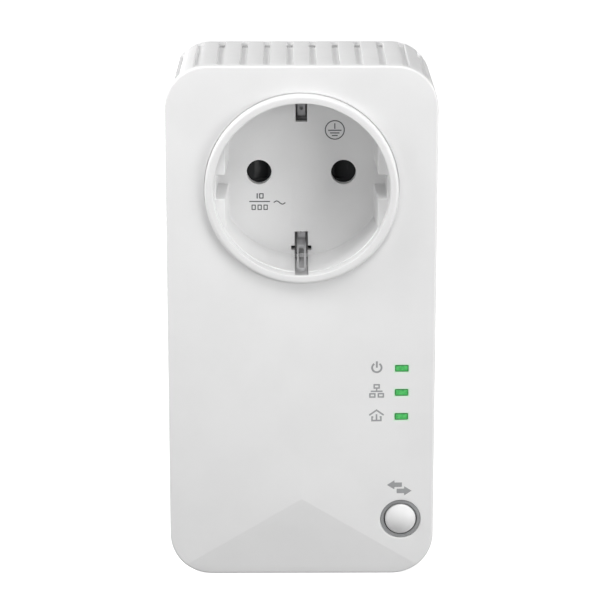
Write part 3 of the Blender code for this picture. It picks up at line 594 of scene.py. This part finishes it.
def make_front_cover():
    tongue_inner, tongue_outer, tongue_back_y = 3.5, 2.3, COVER_BACK_Y + 3.0
    edge, bevel = 0.55, 0.12
    gap, lip = 0.04, 0.06

    def shell(bm):
        levels = [
            (tongue_inner, COVER_BACK_Y),
            (tongue_inner, tongue_back_y),
            (tongue_outer, tongue_back_y),
            (tongue_outer, PARTING_Y),
            (bevel, PARTING_Y),
            (0.0, PARTING_Y - bevel),
        ]
        levels += [(worn, FACE_Y + left) for worn, left in quarter(edge, 8)]
        stack(bm, [(housing_outline(inset), y) for inset, y in levels])

    def openings(bm):
        for radius, edge_lip, centre, segments in (
            (COLLAR_R + 0.1, 0.05, (0.0, 0.0), 128),
            (4.6, 0.15, BUTTON, 64),
        ):
            profile = flared(radius, edge_lip, FRONT_CUT_Y, FACE_Y, BEHIND_CUT_Y)
            turned(bm, profile, centre, segments)
        half_x, half_z = (half + gap for half in LIGHT_HALF)
        for z in LIGHT_ZS.values():
            wide = window_outline(half_x + lip, half_z + lip, LIGHT_X, z)
            hole = window_outline(half_x, half_z, LIGHT_X, z)
            levels = [(wide, FRONT_CUT_Y), (wide, FACE_Y), (hole, FACE_Y + lip), (hole, BEHIND_CUT_Y)]
            stack(bm, levels)

    bm = carved(shell, cut(openings))
    fold_front(bm)
    options = {"nodes": ["front_cover"], "slot": "white_plastic", "creases": on_fold}
    publish("cover_front", bm, cover_white, **options)


def draft_at(y):
    """How far the rear cover's sides have come in at this depth."""
    return DRAFT * (y - PARTING_Y - SEAM) / (BACK_Y - PARTING_Y - SEAM)


def vent_place(i):
    """Where a groove's middle lies, measured from the middle of the top round the outline."""
    return (i - (len(TOP_VENTS) - 1) / 2) * VENT_PITCH


def groove_profile():
    """(sideways, depth) points across one groove, from its left lip to its right lip."""
    lip, foot, half = 0.1, 0.2, VENT_HALF
    left = [(-half - lip, 0.0), (-half - lip * 0.3, 0.03), (-half, 0.13), (-half + 0.03, 1.0 - foot)]
    left += [(-half + 0.09, 0.94), (-half + foot, 1.0)]
    return left + [(-sideways, depth) for sideways, depth in left[::-1]]


def grooved_outline(inset, depth):
    """The rear cover's outline, with the top's and the bottom's grooves sunk into it."""
    flat = HALF_WIDTH - CORNER_R
    reach = flat + CORNER_R * math.pi / 2
    points = []
    for end, chosen in ((1, TOP_VENTS), (-1, BOTTOM_VENTS)):
        samples = []
        for step in range(CORNER_STEPS + 1):
            along = flat + (reach - flat) * step / CORNER_STEPS
            samples += [(along, 0.0, 0.0), (-along, 0.0, 0.0)]
        places = [vent_place(i) for i in chosen]
        samples = [s for s in samples if all(abs(s[0] - p) > VENT_HALF + 0.25 for p in places)]
        for place in places:
            samples += [(place, sideways, share) for sideways, share in groove_profile()]
        samples.sort(key=lambda sample: -sample[0] - sample[1])
        hub_z = TOP_Z - CORNER_R if end > 0 else -BOTTOM_Z - CORNER_R
        half = []
        for along, sideways, share in samples:
            hub_x = max(min(along, flat), -flat)
            turn = (along - hub_x) / CORNER_R
            radius = CORNER_R - inset
            if abs(turn) > 0:
                radius = math.sqrt(radius**2 - sideways**2)
            radius -= share * depth
            x = hub_x + radius * math.sin(turn) + sideways * math.cos(turn)
            z = hub_z + radius * math.cos(turn) - sideways * math.sin(turn)
            half.append((x, end * z))
        points += half if end > 0 else half[::-1]
    return points


def make_rear_cover():
    front_y = PARTING_Y + SEAM
    edge, bevel = 1.0, 0.12
    post_r, post_front_y = 3.7, -33.7
    hole_r, pit_r, pit_floor_y = 1.6, 2.9, BACK_Y - 4.1

    def shell(bm):
        levels = [
            (WALL + draft_at(BACK_INNER_Y), 0.0, BACK_INNER_Y),
            (WALL, 0.0, front_y),
            (bevel, VENT_DEPTH - bevel, front_y),
            (0.0, VENT_DEPTH, front_y + bevel),
            (draft_at(VENT_END_Y), VENT_DEPTH, VENT_END_Y),
            (draft_at(VENT_END_Y), 0.05, VENT_END_Y + 0.15),
            (draft_at(VENT_END_Y), 0.0, VENT_END_Y + 0.25),
        ]
        for worn, left in quarter(edge, 12):
            levels.append((draft_at(BACK_Y - left) + worn, 0.0, BACK_Y - left))
        stack(bm, [(grooved_outline(inset, depth), y) for inset, depth, y in levels])

    def posts(bm):
        for place in POSTS:
            prism(bm, circle(post_r, place, 40), (post_front_y, BACK_INNER_Y + 1.0))

    def openings(bm):
        turned(bm, flared(18.65, 0.3, 0.0, 0.0, 8.0), segments=128)
        for vert in bm.verts:
            vert.co.y = BACK_Y - vert.co.y
        for place in POSTS:
            pit = [(0.0, -35.0), (hole_r, -35.0), (hole_r, pit_floor_y), (pit_r, pit_floor_y)]
            pit += [(pit_r, BACK_Y - 0.2), (pit_r + 0.2, BACK_Y)]
            pit += [(pit_r + 0.2, BACK_Y + 1.0), (0.0, BACK_Y + 1.0)]
            turned(bm, pit, place, 40)

    def slots(bm):
        for end, chosen in ((1, TOP_SLOTS), (-1, BOTTOM_SLOTS)):
            reach = TOP_Z if end > 0 else -BOTTOM_Z
            for i in chosen:
                x = vent_place(i)
                sides = (x - VENT_SLOT_HALF, x + VENT_SLOT_HALF)
                hole = rounded(rectangle(sides, VENT_SLOT_Y), 0.3)
                prism(bm, hole, sorted((end * (reach - 4.0), end * (reach + 1.0))), "Z")

    def bottom_openings(bm):
        """The jack's port with a flared edge, and the reset pinhole beside it."""
        through = (BOTTOM_Z - 1.0, BOTTOM_Z + WALL + 1.0)
        port = rounded(rectangle((-8.25, 8.25), (-34.95, -20.95)), 0.4)
        wide = offset(port, -0.25)
        surface = BOTTOM_Z + draft_at(-28.0)
        levels = [(wide, through[0]), (wide, surface + 0.02), (port, surface + 0.3), (port, through[1])]
        stack(bm, levels, "Z")
        prism(bm, circle(0.9, (11.5, -34.0), 32), through, "Z")

    bm = carved(shell, join(posts), cut(openings), cut(slots), cut(bottom_openings))
    publish("cover_rear", bm, white, nodes=["rear_cover"], slot="white_plastic")


def cross_outline(centre, arm, half):
    """The outline of a cross recess: four arms of this length and half width."""
    points = []
    for c, s in ((1, 0), (0, 1), (-1, 0), (0, -1)):
        for a, b in ((arm, -half), (arm, half), (half, half)):
            points.append((centre[0] + a * c - b * s, centre[1] + a * s + b * c))
    return points


def make_housing_screws():
    names = ("lower_left", "lower_right", "upper_left", "upper_right")
    bottom, top = BACK_Y - 3.8, BACK_Y - 1.8
    angles = [math.pi / 2 * step / 6 for step in range(7)]
    profile = [(2.5 * math.sin(a), top - 0.5 + 0.5 * math.cos(a)) for a in angles]
    profile += [(2.6, top - 0.7), (2.6, bottom), (1.3, bottom), (1.3, bottom - 20.0)]
    profile += [(0.5, bottom - 21.0), (0.0, bottom - 21.0)]
    for name, place in zip(names, sorted(POSTS, key=lambda post: (post[1], post[0]))):

        def screw(bm, place=place):
            turned(bm, profile, place, 40)

        def drive(bm, place=place):
            outline = rounded(cross_outline(place, 1.5, 0.36), 0.2, 3)
            stack(bm, [(offset(outline, 0.15), top - 1.2), (outline, top + 1.0)])

        node = f"housing_screw_{name}"
        bm = carved(screw, cut(drive))
        publish(f"screw_{name}", bm, screw_steel, nodes=[node], slot="spring_steel")


# Socket ------------------------------------------------------------------------------------------


def slot_section(side, near_axis):
    """(y, z) section of a clip's channel: along the recess wall, then through the floor."""
    front_y, step_y, back_y = RIM_Y + 1.1, FLOOR_Y - 0.4, FLOOR_BACK_Y + 0.1
    wall_z, far_z = 18.042, 20.6
    return [
        (front_y, side * wall_z),
        (step_y, side * wall_z),
        (step_y, side * near_axis),
        (back_y, side * near_axis),
        (back_y, side * far_z),
        (front_y, side * far_z),
    ]


def make_socket():
    flange_r, skirt_r, skirt_y = 22.8, 19.5, -24.0
    ribs_y = RIM_Y + RIB_DROP
    profile = [(0.0, RIM_Y)]
    profile += [(COLLAR_R - left, RIM_Y + worn) for worn, left in quarter(0.8, 9)]
    profile += [(COLLAR_R, FLANGE_FRONT_Y), (flange_r, FLANGE_FRONT_Y), (flange_r, FLANGE_BACK_Y)]
    profile += [(COLLAR_R, FLANGE_BACK_Y), (COLLAR_R, skirt_y), (skirt_r, skirt_y)]
    profile += [(skirt_r, FLOOR_BACK_Y), (0.0, FLOOR_BACK_Y)]

    def cup(bm):
        turned(bm, profile, segments=128)

    def mouth(bm):
        turned(bm, flared(MOUTH_R, 0.15, -53.0, RIM_Y, ribs_y), segments=128)

    def recess(bm):
        """The keyed well behind the mouth, whose flat sides lean in a little towards its floor."""
        bevel, fillet = 0.12, 0.25
        levels = [(-bevel, ribs_y - 0.4), (-bevel, ribs_y), (0.0, ribs_y + bevel)]
        levels += [(worn, FLOOR_Y - left) for worn, left in quarter(fillet, 4)]
        rings = []
        for inset, y in levels:
            lean = 0.45 * max(y - ribs_y, 0.0) / (FLOOR_Y - ribs_y)
            sharp = anticlockwise(keyed_outline(RECESS_R, 16.85 - lean, 2.72, 18.9))
            rings.append((rounded(offset(sharp, inset), 0.25, 4), y))
        stack(bm, rings)

    def through_floor(bm):
        for x in (-PIN_X, PIN_X):
            turned(bm, flared(2.8, 0.12, -34.0, FLOOR_Y, -30.0), (x, 0.0), 48)
        for side, half, near_axis in ((1, 1.3, 11.6), (-1, 1.5, 13.8)):
            prism(bm, slot_section(side, near_axis), (-half, half), "X")

    def pockets(bm):
        ends = rounded(rectangle((-2.3, 2.3), (-18.2, -17.1)), 0.2, 3)
        prism(bm, ends, (FLOOR_Y - 0.2, FLOOR_BACK_Y + 0.2))

    bm = carved(cup, cut(mouth), cut(recess), cut(through_floor), cut(pockets))
    publish("socket_shell", bm, shaded_socket_white, nodes=["socket_insert"], slot="white_plastic")
    for name, side, half in (("upper", 1, 1.25), ("lower", -1, 1.45)):
        back_y, wall_z = -29.4, side * 20.48
        plate = [(back_y, side * 11.5), (back_y, wall_z), (RIM_Y + 1.3, wall_z)]
        section = strip_outline(rounded(plate, 0.4, 4, closed=False), 0.18)

        def sheet(bm, section=section, half=half):
            prism(bm, section, (-half, half), "X", 0.03)

        shape(f"channel_lining_{name}", sheet, lining)


def make_floor_marks():
    """An earth symbol and a rating mark whose figures are plain bars, sunk into the recess floor."""
    front_y, back_y = depth = (FLOOR_Y - 0.03, FLOOR_Y + 0.1)
    line = 0.24
    earth_x, earth_z, earth_r = 7.5, 9.7, 2.0
    rating_x, upper_z, line_z, lower_z = -9.4, -5.5, -6.8, -8.15
    zeros = [(rating_x + 0.4, upper_z)] + [(rating_x + x, lower_z) for x in (-1.35, 0.0, 1.35)]

    def stroke(bm, x, z, length):
        half = (length / 2, line / 2)
        prism(bm, rectangle((x - half[0], x + half[0]), (z - half[1], z + half[1])), depth)

    def symbol(bm):
        section = [(earth_r, back_y), (earth_r, front_y)]
        section += [(earth_r + line, front_y), (earth_r + line, back_y)]
        turned(bm, section, (earth_x, earth_z))
        sides = (earth_x - line / 2, earth_x + line / 2)
        prism(bm, rectangle(sides, (earth_z + 0.25, earth_z + 1.5)), depth)
        for z, length in ((9.6, 3.0), (9.0, 2.1), (8.4, 1.3)):
            stroke(bm, earth_x, z, length)

    def rating(bm):
        stroke(bm, rating_x, line_z, 4.7)
        prism(bm, window_outline(0.13, 0.62, rating_x - 0.55, upper_z, 0.12), depth)
        for i, (x, z) in enumerate(zeros):
            prism(bm, window_outline(0.48 if i else 0.5, 0.62, x, z, 0.12), depth)
        turn = 2 * math.pi / 24
        wave = [(-6.2 + 2.6 * t / 24, -7.05 + 0.36 * math.sin(turn * t)) for t in range(25)]
        prism(bm, strip_outline(wave, line), depth)

    def hollow(bm):
        for x, z in zeros:
            prism(bm, window_outline(0.26, 0.4, x, z, 0.08), (front_y - 1, back_y + 1))

    shape("mark_earth", symbol, mark_grey)
    publish("mark_rating", carved(rating, cut(hollow)), mark_grey)


def clip_path(side):
    """A clip's (y, z) path from its root, out behind the floor and forward along the recess wall."""
    points = [(-24.2, 12.2), (-30.35, 12.2), (-30.35, 16.1)]
    points += [(-33.5, 16.7), (-43.8, 19.3), (-45.0, 19.5)]
    return rounded([(y, side * z) for y, z in points], 0.7, 4, closed=False, least_turn=8)


def make_earth_clips():
    """Spring strips whose free ends are long open loops with a round tip."""
    half, hole, tip_y, spare = 0.98, 0.6, -44.9, 0.5
    centre_y = tip_y + half
    for name, side in (("upper", 1), ("lower", -1)):
        section = strip_outline(clip_path(side), 0.5)
        reach = sorted((side * 14.5, side * 20.4))

        def windows(bm, side=side, reach=reach):
            slot = rounded(rectangle((-hole, hole), (centre_y - hole, -34.6)), hole, 8)
            prism(bm, slot, reach, "Z")
            prism(bm, circle(0.42, (0.0, side * 14.2), 32), (-32.0, -29.0))

        def corners(bm, reach=reach):
            arc = [math.pi + math.pi * step / 16 for step in range(17)]
            outline = [(half * math.cos(a), centre_y + half * math.sin(a)) for a in arc]
            outline += [(half + spare, centre_y), (half + spare, tip_y - 1.0)]
            outline += [(-half - spare, tip_y - 1.0), (-half - spare, centre_y)]
            prism(bm, anticlockwise(outline), reach, "Z")

        def strip(bm, section=section):
            prism(bm, section, (-half, half), "X", 0.12)

        bm = carved(strip, cut(windows), cut(corners))
        node = f"earth_clip_{name}"
        publish(f"clip_{name}", bm, spring, body=node, nodes=[node], slot="spring_steel")


# Plug --------------------------------------------------------------------------------------------


def make_plug():
    key_corner = 0.35
    sharp = anticlockwise(keyed_outline(18.4, 16.0, 2.4, 18.0))
    outline = rounded(sharp, key_corner, 4)
    inside = rounded(anticlockwise(keyed_outline(16.5, 14.4, 1.2, 15.2)), key_corner, 4)
    flange_r, flange_y, collar_y = 21.0, -21.6, -19.3
    reach = [flange_r / math.hypot(x, z) for x, z in outline]
    flange = [(x * share, z * share) for (x, z), share in zip(outline, reach)]

    def cup(bm):
        levels = [(inside, -2.6), (inside, flange_y), (flange, flange_y)]
        levels += [(flange, collar_y), (outline, collar_y)]
        for worn, left in quarter(0.8, 7):
            levels.append((rounded(offset(sharp, worn), key_corner, 4), -left))
        stack(bm, levels)

    def holes(bm):
        """The holes for the pins and for a socket's earth pin, and the earth strips' grooves."""
        for x, z, radius in ((-PIN_X, 0.0, 2.55), (PIN_X, 0.0, 2.55), (0.0, 10.0, 3.1)):
            turned(bm, flared(radius, 0.2, -1.0, 0.0, 4.0), (x, z), 48)
        for vert in bm.verts:
            vert.co.y = -vert.co.y
        for side in (1, -1):
            groove = [(-15.5, 17.2), (-0.9, 17.2), (-0.9, 19.5)]
            groove += [(-16.5, 19.5), (-16.5, 15.0), (-15.5, 15.0)]
            prism(bm, [(y, side * z) for y, z in groove], (-2.2, 2.2), "X")

    bm = carved(cup, cut(holes))
    publish("plug_shell", bm, white, nodes=["plug_body"], slot="white_plastic")

    pin_r, stop_r, tip_r = 2.4, 3.3, 1.5
    stop_front_y, stop_back_y, root_y = -4.4, -2.9, -8.3
    profile = [(0.0, PIN_TIP_Y)]
    profile += [(pin_r - left, PIN_TIP_Y - worn) for worn, left in quarter(tip_r, 10)]
    profile += [(pin_r, stop_back_y), (stop_r, stop_back_y), (stop_r, stop_front_y)]
    profile += [(pin_r, stop_front_y), (pin_r, root_y), (0.0, root_y)]
    for name, x in (("neutral", PIN_X), ("line", -PIN_X)):

        def pin(bm, x=x):
            turned(bm, profile, (x, 0.0), 56)

        shape(f"pin_{name}", pin, nickel, nodes=[f"plug_pin_{name}"], slot="nickel")
    for name, side in (("upper", 1), ("lower", -1)):
        path = [(-1.4, 17.75), (-16.0, 17.75), (-16.0, 15.4), (-23.0, 15.4)]
        bent = rounded([(y, side * z) for y, z in path], 0.6, 5, closed=False)

        def strip(bm, bent=bent):
            prism(bm, strip_outline(bent, 0.6), (-2.0, 2.0), "X", 0.12)

        shape(f"strip_{name}", strip, nickel, nodes=[f"plug_earth_strip_{name}"], slot="nickel")


# Controls, lights and their pictograms -----------------------------------------------------------


def make_lights():
    edge, flange = 0.12, -0.5
    half_x, half_z = LIGHT_HALF
    levels = [(left, FACE_Y + 0.05 + worn) for worn, left in quarter(edge, 4)]
    levels += [(0.0, FLANGE_FRONT_Y), (flange, FLANGE_FRONT_Y), (flange, FLANGE_BACK_Y)]
    levels += [(0.0, FLANGE_BACK_Y), (0.0, -37.9)]
    for name, z in LIGHT_ZS.items():

        def pipe(bm, z=z):
            rings = []
            for inset, y in levels:
                rings.append((window_outline(half_x - inset, half_z - inset, LIGHT_X, z), y))
            stack(bm, rings)
            for vert in bm.verts:
                if vert.co.y < FACE_Y + 0.5:
                    vert.co.y -= face_rise(vert.co.x, vert.co.z)

        node = f"light_pipe_{name}"
        shape(f"window_{name}", pipe, green_light, nodes=[node], slot="clear_pipe")


def make_button():
    radius, dome_rise, edge_y = 3.5, 1.3, FACE_Y - 0.3
    flange_r, flange_y, stem_r, stem_y = 4.3, (-44.7, -44.0), 1.5, -41.8
    sphere = (radius**2 + dome_rise**2) / (2 * dome_rise)
    dome = []
    for step in range(11):
        out = (radius - 0.25) * step / 10
        dome.append((out, edge_y - dome_rise + sphere - math.sqrt(sphere**2 - out**2)))
    last = dome[-1][1]
    dome += [(radius - 0.1, last + 0.12), (radius - 0.02, last + 0.28), (radius, last + 0.5)]
    dome += [(radius, flange_y[0]), (flange_r, flange_y[0]), (flange_r, flange_y[1])]
    dome += [(stem_r, flange_y[1]), (stem_r, stem_y), (0.0, stem_y)]
    inner_r, outer_r, holder_r = 3.75, 4.55, 5.2
    ring = [(inner_r, FLANGE_BACK_Y), (inner_r, FACE_Y - 0.05), (inner_r + 0.1, FACE_Y - 0.15)]
    ring += [(outer_r - 0.13, FACE_Y - 0.15), (outer_r - 0.03, FACE_Y - 0.08)]
    ring += [(outer_r, FACE_Y + 0.05), (outer_r, FLANGE_FRONT_Y)]
    ring += [(holder_r, FLANGE_FRONT_Y), (holder_r, FLANGE_BACK_Y)]

    def cap(bm):
        turned(bm, dome, BUTTON, 96)

    def bezel(bm):
        turned(bm, ring, BUTTON, 96)

    node = "pair_button"
    shape("cap_pair", cap, cap_white, body=node, nodes=[node], slot="white_plastic")
    shape("bezel_pair", bezel, grey, nodes=["button_bezel"], slot="grey_plastic")


def printed(name, *draws):
    """A pictogram printed on the front: flat shapes, a few hundredths of a millimetre proud of it."""
    bm = carved(draws[0], *(join(draw) for draw in draws[1:]))
    for vert in bm.verts:
        vert.co.y -= face_rise(vert.co.x, vert.co.z)
    publish(name, bm, print_grey)


def bar(x, z, half_x, half_z, radius=0.04):
    """Draws a filled rectangle of a pictogram."""
    return lambda bm: prism(bm, window_outline(half_x, half_z, x, z, radius), PRINT_Y)


def band(path, width):
    """Draws a line of a pictogram."""
    return lambda bm: prism(bm, strip_outline(path, width), PRINT_Y)


def framed(x, z, half_x, half_z, line):
    """Draws a box of a pictogram as an outline: four strips round a rectangle."""

    def draw(bm):
        outer = window_outline(half_x, half_z, x, z, 0.12)
        inner = window_outline(half_x - line, half_z - line, x, z, 0.05)
        loops = []
        for outline in (inner, outer):
            loops.append([[bm.verts.new((a, y, b)) for a, b in outline] for y in PRINT_Y])
        (in_front, in_back), (out_front, out_back) = loops
        around = (in_front, out_front, out_back, in_back, in_front)
        count = len(in_front)
        for i in range(count):
            j = (i + 1) % count
            for one, two in zip(around, around[1:]):
                bm.faces.new((one[i], one[j], two[j], two[i]))

    return draw


def make_pictograms():
    """One pictogram beside each light, and two arrows over the button."""
    x = 16.8
    icon_zs = {name: z + 0.37 for name, z in LIGHT_ZS.items()}

    z = icon_zs["power"]
    gap, ring_r, line = math.radians(33), 1.05, 0.42
    arc = [math.pi / 2 + gap + (2 * math.pi - 2 * gap) * i / 40 for i in range(41)]
    ring = [(x + ring_r * math.cos(a), z - 0.12 + ring_r * math.sin(a)) for a in arc]
    printed("icon_power", band(ring, line), bar(x, z + 0.62, line / 2, 0.74))

    z = icon_zs["ethernet"] + 0.05
    line = 0.33
    boxes = [framed(x + a, z + b, 0.72, 0.55, line) for a, b in ((0.0, 1.1), (-0.95, -1.0), (0.95, -1.0))]
    trunk, branch = bar(x, z + 0.28, line / 2, 0.36), bar(x, z - 0.05, 1.32, line / 2)
    printed("icon_network", boxes[0], trunk, branch, *boxes[1:])

    z = icon_zs["powerline"]
    line = 0.36
    roof = [(x - 1.62, z + 0.05), (x, z + 1.22), (x + 1.62, z + 0.05)]
    tray = [(x - 0.72, z - 0.38), (x - 1.0, z - 0.38), (x - 1.0, z - 1.22)]
    tray += [(2 * x - a, b) for a, b in tray[::-1]]
    printed("icon_home", band(roof, line), band(tray, line), bar(x, z - 0.45, line / 2, 0.72))

    def arrow(tip_x, tip_z, way):
        half = [(0.0, 0.0), (1.7, 1.1), (1.7, 0.53), (3.4, 0.53)]
        points = half + [(a, -b) for a, b in half[:0:-1]]
        outline = rounded([(tip_x + way * a, tip_z + b) for a, b in points], 0.14, 3)
        return lambda bm: prism(bm, anticlockwise(outline), PRINT_Y)

    printed("icon_pair_out", arrow(19.29, -68.9, 1))
    printed("icon_pair_in", arrow(24.9, -70.4, -1))


# Network jack ------------------------------------------------------------------------------------


def make_jack():
    """A metal can round an insert whose stepped port, open below, holds eight spring wires."""
    sheet, lead, wall = 0.3, 0.1, 0.05
    low, high = BOTTOM_Z + 0.3, BOTTOM_Z + 21.1
    half, front_y, back_y = 8.0, -34.7, -21.2
    outer = rounded(rectangle((-half, half), (front_y, back_y)), 0.5)
    inner_corners = rectangle((-half + sheet, half - sheet), (front_y + sheet, back_y - sheet))
    inner = rounded(inner_corners, 0.5)
    can = [(inner, high - sheet), (inner, low + lead), (offset(inner, -wall), low)]
    can += [(offset(outer, wall), low), (outer, low + lead), (outer, high)]
    shape("jack_shell", lambda bm: stack(bm, can, "Z"), nickel, nodes=["jack_shield"], slot="nickel")

    body = rounded(rectangle((-7.4, 7.4), (-34.1, -21.8)), 0.2)
    right = [(5.9, -33.2), (5.9, -26.2), (3.1, -26.2), (3.1, -24.6), (1.6, -24.6), (1.6, -23.2)]
    port = anticlockwise(right + [(-x, y) for x, y in right[::-1]])
    levels = ((-0.3, low - 1.0), (-0.3, low + 0.4), (0.0, low + 0.8), (0.0, low + 13.0))
    mouth = [(rounded(offset(port, inset), 0.12, 3), z) for inset, z in levels]
    bm = carved(
        lambda bm: prism(bm, body, (low + 0.4, high - 0.6), "Z", 0.1),
        cut(lambda bm: stack(bm, mouth, "Z")),
    )
    publish("jack_insert", bm, dark, nodes=["jack_body"], slot="dark_plastic")

    base, pitch, wire_half = low + 12.7, 1.02, 0.22
    path = [(-32.7, base - 0.3), (-32.7, base - 1.2), (-31.4, base - 7.6)]
    path += [(-31.55, base - 8.3), (-32.0, base - 8.5)]
    section = strip_outline(rounded(path, 0.5, 4, closed=False), 0.3)

    def rail(bm):
        prism(bm, rectangle((-4.6, 4.6), (-32.95, -32.45)), (base - 0.6, base), "Z")

    wires = []
    for i in range(8):
        x = (3.5 - i) * pitch

        def wire(bm, x=x):
            prism(bm, section, (x - wire_half, x + wire_half), "X", 0.06)

        wires.append(join(wire))
    publish("jack_wires", carved(rail, *wires), brass, nodes=["jack_contacts"], slot="brass")


# What stays as the CAD has it --------------------------------------------------------------------

INNER_LOOKS = {
    dark: [
        "shutter", "board_connector", "power_transformer", "coupling_transformer",
        "lan_magnetics", "pair_switch", "reset_switch",
    ],
    grey: ["contact_carrier", "pair_switch_plunger", "reset_plunger"],
    brass: ["line_contact", "neutral_contact", "earth_bridge", "earth_pin_contact"],
    spring: ["shutter_spring"],
    screw_steel: ["board_screw_left", "board_screw_right"],
    nickel: ["chip_shield", "fuse"],
    mask_green: ["main_pcb", "modem_pcb"],
    yellow: ["x_capacitor"],
    sleeve_blue: ["bulk_capacitor", "neutral_wire"],
    wire_brown: ["line_wire"],
    ferrite: ["filter_choke"],
    green_light: ["led_power", "led_ethernet", "led_powerline"],
}


def dress_inner_nodes():
    for look, names in INNER_LOOKS.items():
        for name in names:
            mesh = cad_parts[name].data
            mesh.materials.clear()
            mesh.materials.append(look)


# Studio ------------------------------------------------------------------------------------------


MIDDLE = (0.0, -48.0, -15.0)
LIGHTS = (  # name, place, target, side in millimetres, watts
    ("right", (450.0, -400.0, -60.0), MIDDLE, 300.0, 2.2),
    ("upper_right", (500.0, -200.0, 150.0), MIDDLE, 300.0, 0.4),
    ("upper_left", (-500.0, -100.0, 300.0), MIDDLE, 250.0, 2.6),
    ("front", (120.0, -300.0, 450.0), MIDDLE, 250.0, 1.2),
    ("rear", (-150.0, 500.0, -90.0), (0.0, 0.0, -40.0), 200.0, 1.6),
    ("near", (-60.0, -180.0, 20.0), MIDDLE, 60.0, 0.045),
)


def facing(place, target):
    """The rotation that turns a light or a camera at place to its target."""
    return (Vector(target) - Vector(place)).to_track_quat("-Z", "Y").to_euler()


def make_studio():
    for name, place, target, side, power in LIGHTS:
        data = bpy.data.lights.new(name, "AREA")
        data.size = side * MM
        data.energy = power
        light = bpy.data.objects.new(name, data)
        light.location = Vector(place) * MM
        light.rotation_euler = facing(place, target)
        light.visible_camera = False
        light.visible_glossy = name != "near"  # so close, its mirror image would blow out the metal
        bpy.context.scene.collection.objects.link(light)
    world = bpy.data.worlds.new("studio")
    world.use_nodes = True
    background = world.node_tree.nodes["Background"]
    background.inputs["Color"].default_value = (1.0, 1.0, 1.0, 1.0)
    background.inputs["Strength"].default_value = 0.29
    bpy.context.scene.world = world
    bpy.context.scene.view_settings.view_transform = "Standard"


def make_floor():
    """A white floor that glows for the camera alone, so it doesn't light the object from below."""
    look = Look("floor", (0.9, 0.9, 0.9), 0.8)
    look.vary_colour(look.noise(400.0), 0.01)
    look.set("Emission Color", (1.0, 1.0, 1.0, 1.0))
    look.set("Emission Strength", 0.75)
    mesh = bpy.data.meshes.new("floor")
    reach = 4000.0 * MM
    corners = [(x, y, BOTTOM_Z * MM) for x, y in rectangle((-reach, reach), (-reach, reach))]
    mesh.from_pydata(corners, [], [(0, 1, 2, 3)])
    mesh.materials.append(look.material)
    floor = bpy.data.objects.new("floor", mesh)
    floor.visible_diffuse = False
    floor.visible_glossy = False
    bpy.context.scene.collection.objects.link(floor)


def make_camera():
    data = bpy.data.cameras.new("camera")
    data.lens = 164.5
    data.sensor_width = 36.0
    data.shift_x = -0.0029
    data.clip_end = 20.0
    camera = bpy.data.objects.new("camera", data)
    place, target = (-3.25, -632.9, 145.2), (0.0, -50.5, -24.86)
    camera.location = Vector(place) * MM
    camera.rotation_euler = facing(place, target)
    bpy.context.scene.collection.objects.link(camera)
    bpy.context.scene.camera = camera


make_front_cover()
make_rear_cover()
make_housing_screws()
make_socket()
make_floor_marks()
make_earth_clips()
make_plug()
make_lights()
make_button()
make_pictograms()
make_jack()
dress_inner_nodes()
make_studio()
make_floor()
make_camera()
